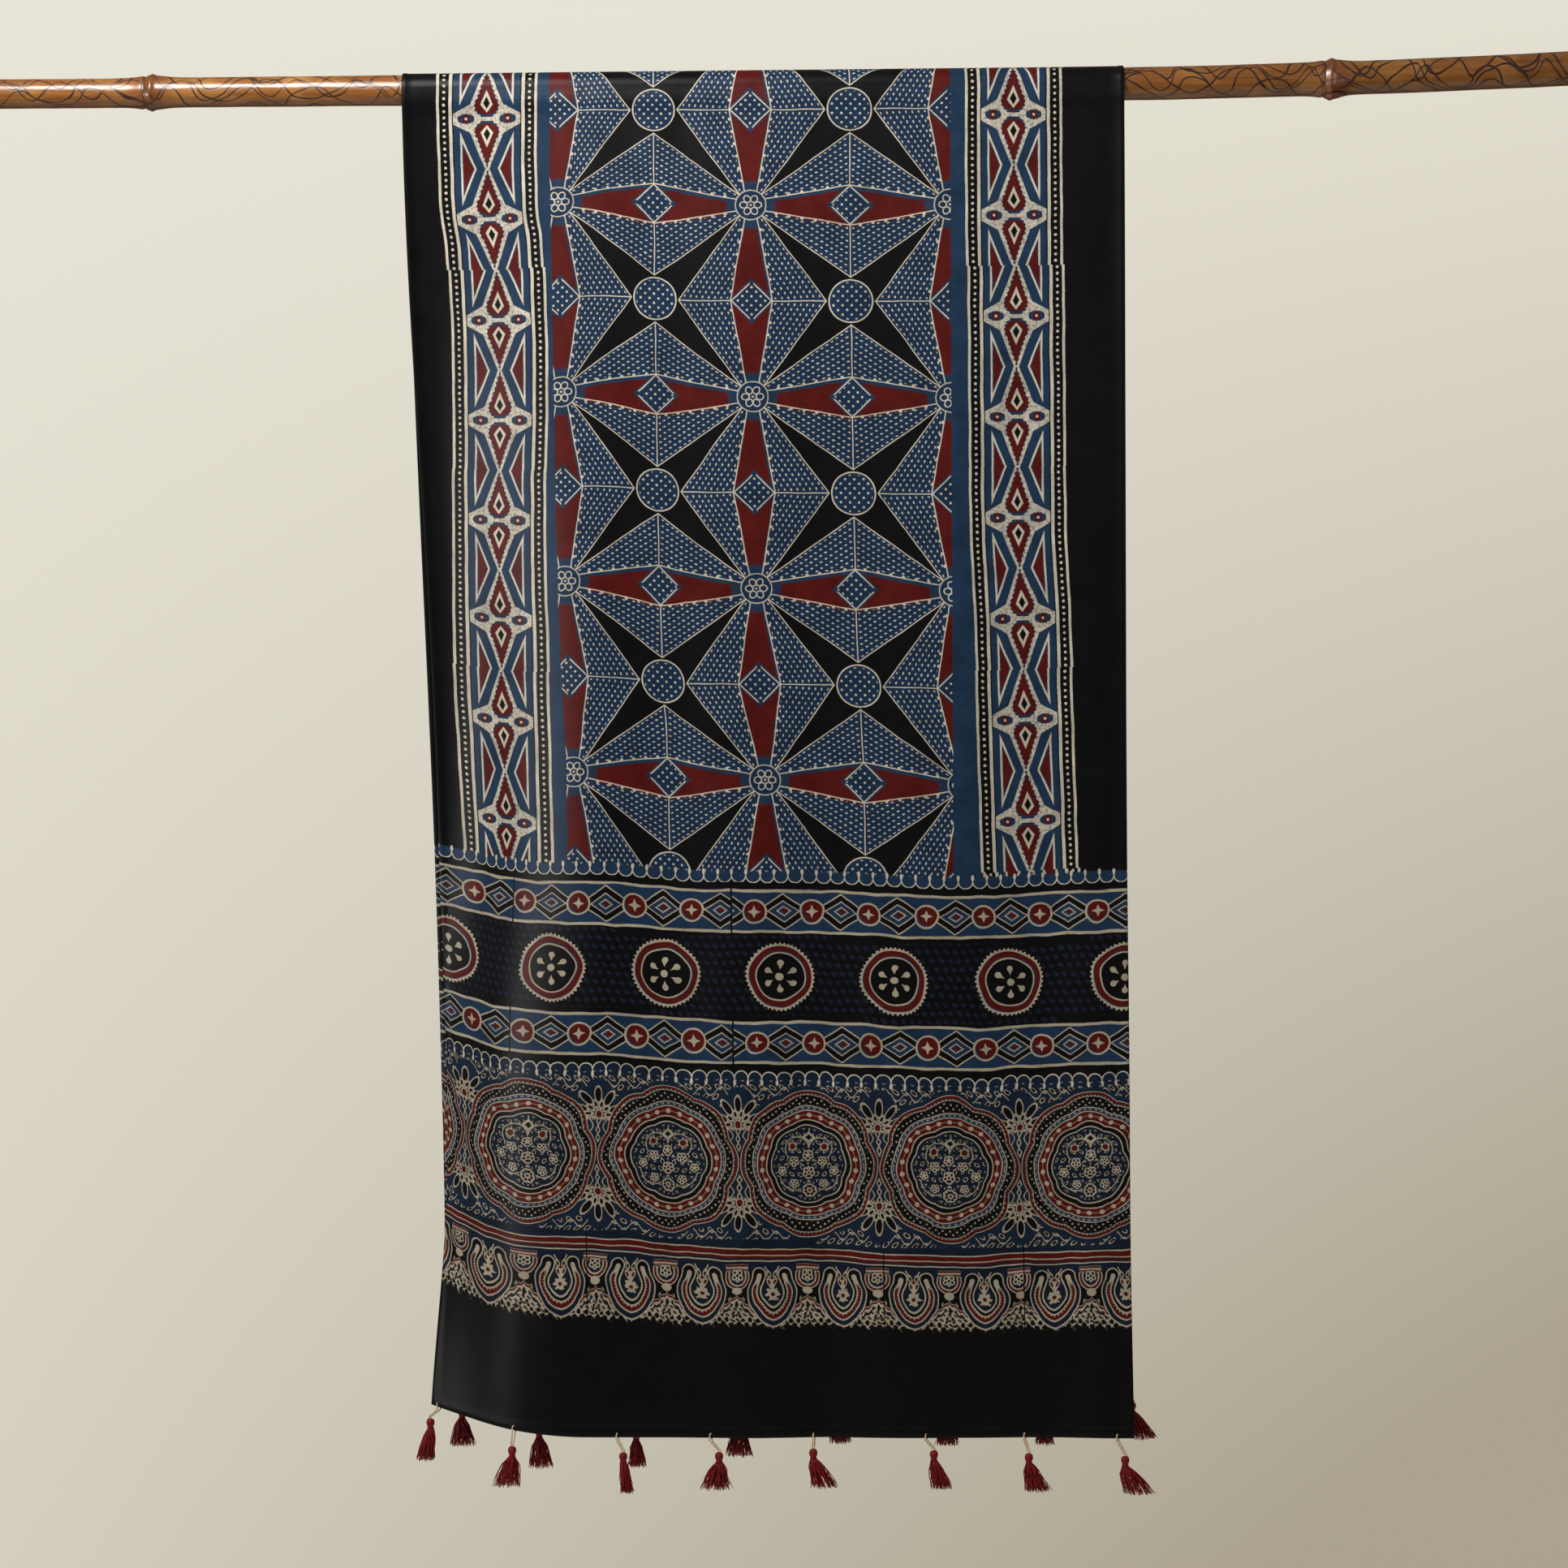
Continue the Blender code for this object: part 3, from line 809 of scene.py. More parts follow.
def boteh_material():
    """Horned pots over a stepped festoon and a ragged lace, and the striped line above them."""
    band = Print("print_botehs", 0.5)
    s = wrap(eased(band) - 56.0, BOTEH_PITCH)
    x = abs(s)
    v = band.q - 111.5
    gap = BOTEH_PITCH / 2 - x
    colour = over(BLACK, DEEP, inside(16.5 - v, 3.0))
    # the festoon in five even steps, with beads over it and lace under it
    step = BOTEH_PITCH / 10
    festoon = v - scaled(x, 0.83, -25.2) - sine(x * (2 * math.pi / step)) * 0.72
    colour = over(colour, SAND, inside(reach(wrap(x, step), festoon - 3.4) - 0.9))
    under = inside(festoon)
    ragged = sine(band.p * 1.03) * 0.9 + sine(band.p * 0.47 + 1.0) * 0.8 + scaled(band.fast, 3.2, -1.6)
    bottom = inside(scaled(v, -1.0, -25.2) + ragged)
    colour = over(colour, SAND, under * bottom)
    hole = reach(wrap(band.p + 1.0, 6.1) * 0.9, (v + 24.0 - ragged * 0.5) * 0.8) - 1.8
    second = reach(wrap(band.p + 4.0, 6.1), (v + 20.4) * 0.75) - 1.6
    colour = over(colour, BLACK, most(inside(hole), inside(second)) * inside(festoon + 1.6))
    slash = abs(festoon + 4.4) - 1.1
    colour = over(colour, DEEP, inside(slash) * between(gap, 3.2, 12.5) * inside(scaled(v, -1.0, -23.0)))
    colour = over(colour, BLACK, inside(reach(gap, (v + 9.0) * 0.36) - 1.15))
    colour = blossom(colour, gap, v + 17.2, 5.2, 5, RED, 0.4)
    spots = dots(band.p + v * 0.3, v * 1.1, 4.6, 1.45, 0.4)
    colour = over(colour, BLACK, spots * inside(festoon + 2.2) * 0.9)
    colour = over(colour, SAND, stroke(festoon, 1.4))
    colour = over(colour, RED, stroke(festoon, 0.85))
    # cups under red bars, between the pots
    cup_v = v - 14.5
    cup = reach(gap, cup_v * 0.92) - 9.8
    low = inside(cup_v - 3.4)
    colour = over(colour, SAND, inside(cup) * low)
    colour = over(colour, RED, inside(cup + 0.8) * inside(cup_v - 3.0))
    colour = over(colour, SAND, inside(cup + 2.5) * low)
    colour = over(colour, DEEP, inside(cup + 3.6) * inside(cup_v - 3.8))
    colour = blossom(colour, gap, cup_v - 0.2, 5.0, 5, BLACK, 0.5)
    bar = inside(gap - 9.0)
    colour = over(colour, SAND, bar * between(cup_v, 4.2, 8.2))
    colour = over(colour, RED, bar * most(between(cup_v, 6.5, 8.0), between(cup_v, 4.4, 5.2)))
    blob = reach(gap * 0.78, v - 2.6) - 2.9
    colour = over(colour, SAND, inside(blob))
    colour = over(colour, BLACK, inside(reach(gap - 5.6, (v + 0.6) * 0.75) - 1.5))
    # the pots: one thick line from horn to horn
    neck = calc("MAXIMUM", v - 2.0, 0.0)
    lean = clamped(neck, 1 / 13.5, 0.0)
    ease = lean * lean * scaled(lean, -2.0, 3.0)
    point = calc("MAXIMUM", -v - x * 0.9, 0.0)
    offset = reach(x, calc("MINIMUM", v - 2.0, 0.0) * 0.86) - point * 0.16 - 13.9 + ease * 4.2
    cap = reach(offset, calc("MAXIMUM", v - 15.2, 0.0))
    colour = over(colour, DEEP, inside(offset) * between(v, -16.0, 13.0))
    colour = over(colour, SAND, inside(cap - 5.6))
    colour = over(colour, BLACK, inside(cap - 4.6))
    low = inside(v - 11.0, 2.0)
    colour = over(colour, DEEP, inside(cap - 4.6) * inside(1.8 - offset) * low)
    core = reach(offset + 0.35, calc("MAXIMUM", v - 14.2, 0.0)) - 2.3 + inside(8.5 - v, 3.0) * 0.4
    colour = over(colour, SAND, inside(core))
    colour = over(colour, RED, inside(core + 0.95) * inside(v - 8.5, 3.0))
    turn = bearing(x, 2.0 - v)
    tooth = inside(fold(turn * 13.0, 2.3) - 0.38, 0.4) * stroke(offset + 1.5, 0.5) * low
    colour = over(colour, SAND, tooth)
    colour = over(colour, SAND, stroke(offset + 4.9, 0.5) * inside(v - 12.0))
    # the flower inside, with leaves rising between the horns
    mouth = inside(offset + 6.4)
    petals = fold(bearing(x, v + 0.2) + 0.2, 0.9)
    blown = reach(x, v + 0.2) * scaled(abs(petals), 0.7, 0.85) - 4.9 + scaled(band.fast, 3.6, -1.8)
    colour = over(colour, SAND, inside(blown) * mouth)
    colour = over(colour, RED, inside(reach(x, v + 0.2) - 1.6))
    colour = over(colour, BLACK, inside(reach(x - 3.6, (v + 2.4) * 0.8) - 0.9))
    spear = x * 1.2 + abs(v - 8.0) * 0.62 - 3.6
    colour = over(colour, SAND, inside(spear))
    for across, up, ink in ((2.1, 9.4, RED), (2.3, 15.4, DEEP)):
        leaf = reach((x - across) * 1.35 - (v - up) * 0.35, (v - up) * 0.7)
        colour = over(colour, SAND, inside(leaf - 2.2) * inside(v - 19.0))
        colour = over(colour, ink, inside(leaf - 1.3) * inside(v - 19.0))
    colour = over(colour, RED, inside(x + abs(v - 12.6) * 0.9 - 1.5))
    stray = abs(x - scaled(v, 0.55, -6.6)) - 0.5
    colour = over(colour, SAND, inside(stray) * between(v, 16.5, 21.5))
    # stripes along the top
    top = band.q - 136.2
    colour = over(colour, DEEP, inside(scaled(top, -1.0, -1.5)))
    colour = over(colour, SAND, between(top, 0.3, 1.3))
    colour = over(colour, DEEP, between(top, 1.3, 3.3))
    colour = over(colour, RED, between(top, 2.6, 4.6))
    colour = over(colour, SAND, between(top, 4.5, 5.4))
    colour = over(colour, RED, between(top, 5.4, 9.2))
    colour = over(colour, SAND, between(top, 9.2, 10.2))
    for joint in (-143.0, 88.0, 197.0):
        colour = over(colour, BLACK, stroke(band.raw_p - joint, 0.45) * inside(scaled(band.q, -1.0, 86.0)))
    colour = over(colour, BLACK, inside(band.q - 84.0, 1.0))
    return band.finish(colour)


def end_material():
    """The plain black end, with its turned hem and line of stitches."""
    band = Print("print_end")
    seam = abs(band.raw_q - 8.3)
    stitch = inside(seam - 0.28, 0.2) * inside(fold(band.raw_p, 2.6) - 0.95, 0.2)
    colour = over(BLACK, NIGHT, stitch * 0.8)
    colour = over(colour, NIGHT, inside(seam - 0.9, 0.6) * 0.25)
    return band.finish(colour)


def print_materials():
    """Each band's material with the height of its top edge over the hem, in millimetres."""
    return [
        (79.0, end_material()),
        (151.0, boteh_material()),
        (287.2, medallion_material()),
        (326.0, chain_material("print_chain_low", 306.0, 17.4)),
        (387.0, rosette_material()),
        (427.2, chain_material("print_chain_high", 407.9, 17.2)),
        (1e9, field_material()),
    ]

# ---------------------------------------------------------------- the cloth


def steps_to(start, end, count):
    return list(np.linspace(start, end, count + 1)[1:])


def column_places():
    half = CLOTH_WIDTH / 2
    edge = [0.0, 0.0005, SIDE_HEM - 0.0003, SIDE_HEM + 0.0005]
    left = [-half + e for e in edge]
    left += steps_to(left[-1], -0.125, 30)
    left += steps_to(-0.125, half - edge[-1], 48)
    return np.array(left + [half - e for e in edge[-2::-1]])


def fall_rows(side):
    """The falls of a panel's rows, from the pole to the hem."""
    drop = FRONT_DROP if side < 0 else BACK_DROP
    hem = END_HEM / drop
    rows = steps_to(0.0, 0.16, 36) + steps_to(0.16, 1 - hem - 0.0006, 126)
    return rows + [1 - hem, 1 - hem * 0.55, 1 - 0.0005 / drop, 1.0]


def print_place(side, u, fall):
    """Where a point of the sheet lies on the printed cloth: p and q in millimetres."""
    if side > 0:
        p = u * 1000 + 4.0 * smooth_step(0.0, 1.0, fall) * np.sin(3.1 * u / 0.28)
        return p, (1 - fall) * BACK_DROP * 1000 + 0 * u
    lift = np.interp(fall, (0, 0.2, 0.4, 0.65, 0.88, 1), (0, 5.5, 11.5, 9.5, 14, 0))
    dip = np.interp(fall, (0, 0.3, 0.55, 0.9, 1), (0, 2, 5.5, 5, 0))
    raised = np.maximum(0.0, (-0.05 - u) / 0.23) ** 1.7
    low = np.clip(1 - np.abs(u - 0.151) / 0.14, 0.0, 1.0)
    swell = np.interp(fall, (0, 0.08, 0.6, 0.85, 0.95, 1), (0, 4.5, 5, 6.5, 3, 0))
    swell = swell * np.exp(-(((u + 0.13) / 0.06) ** 2))
    q = (1 - fall) * FRONT_DROP * 1000 - lift * raised + dip * low * low * (3 - 2 * low) - swell
    return u * 1000 + 0 * fall, q


def build_cloth(materials):
    across = column_places()
    rows, marks = [], []
    for fall in reversed(fall_rows(-1)):
        rows.append(panel_row(-1, across, fall))
        marks.append((-1, fall))
    for i in range(SADDLE_ROWS + 1):
        turn = math.pi * (i / SADDLE_ROWS - 0.5)
        rows.append(saddle_row(across, turn))
        marks.append((0, turn))
    for fall in fall_rows(1):
        rows.append(panel_row(1, across, fall))
        marks.append((1, fall))
    grid = np.array(rows)
    high, wide = grid.shape[:2]
    relief(grid, across, marks)
    along = np.gradient(grid, axis=0)
    athwart = np.gradient(grid, across, axis=1)
    normals = np.cross(athwart, along)
    normals /= np.linalg.norm(normals, axis=2, keepdims=True)
    thick = np.full((high, wide), SHEET_THICKNESS / 2)
    for i in (1, 2, wide - 3, wide - 2):
        thick[:, i] = HEM_THICKNESS / 2
    for i in (1, 2, high - 3, high - 2):
        thick[i, :] = np.maximum(thick[i, :], HEM_THICKNESS / 2)
    for i in (0, wide - 1):
        thick[:, i] = HEM_THICKNESS * HEM_EDGE_SHARE
    for i in (0, high - 1):
        thick[i, :] = HEM_THICKNESS * HEM_EDGE_SHARE
    outer = grid - normals * thick[..., None]
    inner = grid + normals * thick[..., None]
    points = np.concatenate([outer.reshape(-1, 3), inner.reshape(-1, 3)])
    index = np.arange(high * wide).reshape(high, wide)
    quads = np.stack([index[:-1, :-1], index[1:, :-1], index[1:, 1:], index[:-1, 1:]], axis=2).reshape(-1, 4)
    faces = [quads, quads[:, ::-1] + high * wide]
    second = index + high * wide
    for line, other, turned in (
        (index[:, 0], second[:, 0], False),
        (index[:, -1], second[:, -1], True),
        (index[0, :], second[0, :], True),
        (index[-1, :], second[-1, :], False),
    ):
        rim = np.stack([line[:-1], other[:-1], other[1:], line[1:]], axis=1)
        faces.append(rim[:, ::-1] if turned else rim)
    faces = np.concatenate(faces)
    mesh = bpy.data.meshes.new("stole")
    mesh.from_pydata(points.tolist(), [], faces.tolist())
    lay_print(mesh, across, marks, faces, materials)
    mesh.shade_smooth()
    stole = bpy.data.objects.new("stole", mesh)
    bpy.context.collection.objects.link(stole)
    return stole


def relief(grid, across, marks):
    """Creases at the pole, soft folds across the panels and slight cockling of the cloth, in place."""
    for row, (side, fall) in enumerate(marks):
        if side == 0:
            continue
        drop = fall * FRONT_DROP
        pull = 0.0011 * math.exp(-((drop - 0.011) / 0.006) ** 2)
        cockle = np.array(
            [
                0.0009 * noise.noise(Vector((u * 9, drop * 4.0, side * 3.1)))
                + 0.00035 * noise.noise(Vector((u * 40, drop * 11, 7 + side)))
                for u in across
            ]
        )
        cockle *= min(1.0, drop / 0.03)
        near_pole = math.exp(-drop / 0.05) * min(1.0, drop / 0.012)
        gather = 0.0005 * near_pole * np.sin(across * 2 * np.pi / 0.031 + 2 * np.sin(across * 37))
        grid[row, :, 1] += side * (pull + gather) + cockle
        if side > 0:
            continue
        for level, left, right, amount in ((0.533, -0.27, -0.145, 0.0008), (0.541, 0.235, 0.275, 0.0009)):
            band = smooth_step(left - 0.01, left + 0.02, across)
            band = band * (1 - smooth_step(right - 0.02, right + 0.01, across))
            grid[row, :, 1] -= band * amount * math.exp(-(((drop - level) / 0.0045) ** 2))


def lay_print(mesh, across, marks, faces, materials):
    """Both UV maps, and each face's printed band."""
    high, wide = len(marks), len(across)
    p = np.zeros((high, wide))
    q = np.zeros((high, wide))
    for row, (side, fall) in enumerate(marks):
        if side:
            p[row], q[row] = print_place(side, across, fall)
        else:
            p[row], q[row] = print_place(-1, across, 0.0)
            q[row] += (fall + math.pi / 2) * POLE_MID_RADIUS * 1000
    first_back = next(row for row, (side, fall) in enumerate(marks) if side > 0)
    middle = next(row for row, (side, fall) in enumerate(marks) if side == 0 and fall >= 0)
    for name in ("Print", "OFBake"):
        mesh.uv_layers.new(name=name)
    flat = faces.reshape(-1) % (high * wide)
    row_of, column_of = flat // wide, flat % wide
    face_row = (faces % (high * wide) // wide).min(axis=1)
    on_back = np.repeat(face_row >= first_back - 1, 4)
    at_seam = on_back & (row_of == first_back - 1)
    shown_q = np.where(at_seam, BACK_DROP * 1000, q[row_of, column_of])
    uv = np.stack([p[row_of, column_of] / 1000, shown_q / 1000], axis=1)
    mesh.uv_layers["Print"].data.foreach_set("uv", uv.astype(np.float32).reshape(-1))
    run = np.zeros(high)
    for row in range(1, high):
        (side, fall), (old_side, old_fall) = marks[row], marks[row - 1]
        if side == 0 and old_side == 0:
            run[row] = run[row - 1] + math.pi * POLE_MID_RADIUS / SADDLE_ROWS
        else:
            fall = fall if side else 0.0
            old_fall = old_fall if old_side else 0.0
            run[row] = run[row - 1] + abs(fall - old_fall) * FRONT_DROP
    half_run = run[middle]
    face_back = np.repeat(face_row >= middle, 4)
    bake_u = np.where(face_back, 0.505, 0.0) + 0.495 * (across[column_of] / CLOTH_WIDTH + 0.5)
    bake_v = np.where(face_back, (run[row_of] - half_run) / (run[-1] - half_run), 1 - run[row_of] / half_run)
    baked = np.stack([bake_u, bake_v * 0.998 + 0.001], axis=1)
    mesh.uv_layers["OFBake"].data.foreach_set("uv", baked.astype(np.float32).reshape(-1))
    middle_q = uv[:, 1].reshape(-1, 4).mean(axis=1) * 1000
    slots = np.full(len(faces), len(materials) - 1)
    for slot, (top, material) in reversed(list(enumerate(materials))):
        slots[middle_q < top] = slot
    for _, material in materials:
        mesh.materials.append(material)
    mesh.polygons.foreach_set("material_index", slots.astype(np.int32))


def hem_frame(side, u):
    """A tassel's hole in the hem: its place, the direction across the hem, and the outward normal."""
    fall = 1 - HOLE_RISE / float(hem_depth(side, u))
    left, place, right = panel_row(side, np.array([u - 0.001, u, u + 0.001]), fall)
    along = right - left
    along[2] = 0.0
    along /= np.linalg.norm(along)
    outward = np.cross(along, (0, 0, 1))
    if outward[1] * side < 0:
        outward = -outward
    return Vector(place), Vector(along), Vector(outward)


# ---------------------------------------------------------------- cords and tassels


def axes_along(path, i):
    """The way ahead at a point of a path is their cross product: one direction aside and the other."""
    ahead = (path[min(i + 1, len(path) - 1)] - path[max(i - 1, 0)]).normalized()
    aside = ahead.cross(Vector((0.3, 1.0, 0.1))).normalized()
    return aside, ahead.cross(aside)


def tube(work, path, radii, sides, turn=0.0):
    """A closed tube through the points of path."""
    rings = []
    for i, point in enumerate(path):
        aside, other = axes_along(path, i)
        radius = radii[i] if isinstance(radii, list) else radii
        turns = [turn + 2 * math.pi * k / sides for k in range(sides)]
        ring = [point + aside * radius * math.cos(way) + other * radius * math.sin(way) for way in turns]
        rings.append([work.verts.new(spot) for spot in ring])
    skin(work, rings)


def skin(work, rings):
    """Faces between rings of the same number of corners, closed at both ends."""
    sides = len(rings[0])
    for low, high in zip(rings[:-1], rings[1:]):
        for k in range(sides):
            work.faces.new((low[k], low[(k + 1) % sides], high[(k + 1) % sides], high[k]))
    work.faces.new(rings[0][::-1])
    work.faces.new(rings[-1])


def finish_mesh(name, work, material):
    bmesh.ops.recalc_face_normals(work, faces=work.faces)
    mesh = bpy.data.meshes.new(name)
    work.to_mesh(mesh)
    work.free()
    mesh.materials.append(material)
    mesh.shade_smooth()
    piece = bpy.data.objects.new(name, mesh)
    bpy.context.collection.objects.link(piece)
    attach(piece, "root")
    return piece


def curve_through(points, count):
    """Evenly spread points on a smooth curve through the given ones."""
    dense = []
    for i in range(len(points) - 1):
        a, b = points[max(i - 1, 0)], points[i]
        c, d = points[i + 1], points[min(i + 2, len(points) - 1)]
        for k in range(8):
            t = k / 8
            bend = (2 * a - 5 * b + 4 * c - d) * t * t + (3 * b - a - 3 * c + d) * t * t * t
            dense.append(0.5 * (2 * b + (c - a) * t + bend))
    dense.append(points[-1])
    runs = [0.0]
    for a, b in zip(dense[:-1], dense[1:]):
        runs.append(runs[-1] + (b - a).length)
    spots = np.linspace(0, runs[-1], count)
    columns = [np.interp(spots, runs, [point[axis] for point in dense]) for axis in range(3)]
    return [Vector(point) for point in zip(*columns)]


def build_loop(name, side, row, material):
    """A doubled cord through the hem, of two plies twisted together."""
    place, across, outward = hem_frame(side, row.across)
    up = Vector((0, 0, 1))
    foot = place + Vector((row.head_aside, 0, TASSEL_HEAD_RADIUS - row.head_drop)) - up * 0.0008

    def strand(way):
        """From the tassel's head up to the hole: in front of the hem for 1, behind it for -1."""
        aside, out = across * CORD_SIDE * way, outward * CORD_STANDOFF * 0.62 * way
        return [
            foot - aside,
            foot - aside + up * 0.0024,
            place + out - aside - up * 0.0052,
            place + out - aside - up * 0.0014,
            place + out * 0.62 - aside * 0.7 - up * 0.0001,
        ]

    path = curve_through(strand(1) + [place] + strand(-1)[::-1], CORD_POINTS)
    work = bmesh.new()
    for start in (0, math.pi):
        twisted = []
        for i, point in enumerate(path):
            aside, other = axes_along(path, i)
            turn = start + i * CORD_TWIST
            twisted.append(point + (aside * math.cos(turn) + other * math.sin(turn)) * CORD_PLY * 0.8)
        tube(work, twisted, CORD_PLY, 6)
    piece = finish_mesh("cord_" + name, work, material)
    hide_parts("loop_" + name)
    return piece


def build_tassel(name, side, row, material, dice):
    """A bound head over a skirt of separate threads with uneven ends."""
    place, _, _ = hem_frame(side, row.across)
    head = place + Vector((row.head_aside, 0, -row.head_drop))
    radius = TASSEL_HEAD_RADIUS
    work = bmesh.new()
    ribs = 30
    rings = []
    for rise, share in (
        (1.02, 0.25), (0.9, 0.62), (0.55, 0.93), (0.1, 1.0), (-0.4, 0.94), (-0.72, 0.78), (-0.95, 0.62), (-1.5, 0.60)
    ):
        ring = []
        for k in range(ribs * 2):
            turn = math.pi * k / ribs
            out = radius * share * (1.0 - 0.055 * (k % 2) - 0.02 * dice.random())
            ring.append(work.verts.new(head + Vector((math.cos(turn) * out, math.sin(turn) * out, rise * radius))))
        rings.append(ring)
    skin(work, rings)
    for level in (-0.86, -1.04, -1.22):
        turns = [2 * math.pi * k / 24 for k in range(25)]
        wind = [
            head + Vector((math.cos(turn) * 0.68, math.sin(turn) * 0.68, level - 0.007 * k)) * radius
            for k, turn in enumerate(turns)
        ]
        tube(work, wind, 0.00032, 5)
    neck = head + Vector((0, 0, -1.25 * radius))
    skirt = row.length - 1.25 * radius
    threads = 110
    for i in range(threads):
        turn = 2 * math.pi * (i * 0.61803 + 0.05 * dice.random())
        spread = math.sqrt((i + 0.5) / threads)
        half_x = row.width / 2 * spread * (0.88 + 0.16 * dice.random())
        half_y = row.width / 2 * 0.60 * spread
        cut = skirt * (0.90 + 0.11 * dice.random())
        if dice.random() < 0.08:
            cut = skirt * (0.74 + 0.12 * dice.random())
        bow = dice.uniform(-0.0012, 0.0012)
        start = radius * 0.5 * spread
        path = []
        for t in (0.0, 0.12, 0.3, 0.52, 0.76, 1.0):
            flare = 0.30 * min(1.0, t * 4) + 0.70 * (t**1.15)
            x = math.cos(turn) * (start * (1 - t) + half_x * flare) + row.skirt_aside * t + bow * math.sin(5 * t + i)
            y = math.sin(turn) * (start * (1 - t) + half_y * flare) + bow * math.cos(4 * t + 2 * i)
            path.append(neck + Vector((x, y, -cut * t)))
        size = 0.00030 + 0.00016 * dice.random()
        tube(work, path, [size * 0.9, size, size, size, size * 0.95, size * 0.6], 4, turn=dice.random())
    piece = finish_mesh("threads_" + name, work, material)
    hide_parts("tassel_" + name)
    return piece


# ---------------------------------------------------------------- the pole


def build_pole(material):
    """A bamboo pole with a ridge and a groove at each node, a branch scar, and ends sunk a little where sawn."""
    sides = 72
    stations = list(np.arange(POLE_LEFT, POLE_RIGHT, 0.005)) + [POLE_RIGHT]
    for node in POLE_NODES:
        stations = [x for x in stations if abs(x - node) > 0.015]
        stations += list(np.linspace(node - 0.0145, node + 0.0145, 34))
    stations = sorted(stations)
    stations = [x for x in stations if POLE_LEFT + 0.001 < x < POLE_RIGHT - 0.001]
    stations = [POLE_LEFT, POLE_LEFT + 0.0007] + stations + [POLE_RIGHT - 0.0007, POLE_RIGHT]
    work = bmesh.new()

    def ring(x, shrink=1.0, depth=0.0):
        made = []
        for k in range(sides):
            turn = 2 * math.pi * k / sides
            radius = float(pole_radius(x))
            spot = Vector((x * 14, math.cos(turn) * 1.1, math.sin(turn) * 1.1))
            radius += 0.00035 * noise.noise(spot) + 0.00012 * noise.noise(spot * 4)
            for node, lean in zip(POLE_NODES, (0.0006, 0.0011)):
                off = x - node - lean * math.sin(turn + 0.6)
                ridge = 0.42 * math.exp(-((off / 0.0021) ** 2)) + 0.70 * math.exp(-((off / 0.0125) ** 2))
                groove = 0.32 * math.exp(-(((off + 0.0052) / 0.0013) ** 2))
                radius += NODE_RIDGE * (ridge - groove) * 0.82
            scar = math.exp(-(((x - POLE_NODES[1] - 0.002) / 0.0085) ** 2)) * max(0.0, math.cos(turn + 2.1)) ** 5
            radius += 0.0030 * scar
            radius *= shrink
            made.append(
                work.verts.new((x + depth, radius * math.cos(turn), float(pole_height(x)) + radius * math.sin(turn)))
            )
        return made

    sawn = ((0.2, 0.0035), (0.66, 0.003), (0.70, 0.0), (0.965, 0.0))  # shrink and depth, outwards over an end
    rings = [ring(POLE_LEFT, shrink, depth) for shrink, depth in sawn]
    rings += [ring(x) for x in stations[1:-1]]
    rings += [ring(POLE_RIGHT, shrink, -depth) for shrink, depth in reversed(sawn)]
    skin(work, rings)
    piece = finish_mesh("bamboo_pole", work, material)
    piece.data.set_sharp_from_angle(angle=math.radians(48))
    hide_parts("pole")
    return piece


# ---------------------------------------------------------------- the other materials


def burnt_lines(along, around, place):
    """Burnt lines wandering along the culm: crossing waves in millimetres, heavier in some places."""
    lines = []
    for wavelength, swing, level, phase in (
        (46.0, 8.5, 1.0, 0.3), (57.0, 8.0, -7.0, 2.1), (39.0, 7.0, 9.0, 4.2), (50.0, 7.5, -22.0, 1.2),
        (43.0, 7.0, 24.0, 3.3), (68.0, 10.0, 0.0, 5.4), (61.0, 9.0, 14.0, 0.9),
    ):
        wave = sine(along * (2 * math.pi / wavelength) + phase) * swing + level
        slope = cosine(along * (2 * math.pi / wavelength) + phase) * (swing * 2 * math.pi / wavelength)
        distance = calc("DIVIDE", abs(around - wave), calc("SQRT", slope * slope + 1.0))
        lines.append(inside(distance - 0.62, 0.45))
    heavy = noise_value(place, 48.0, 2.0)
    return most(*lines) * clamped(heavy, 5.0, -0.95)


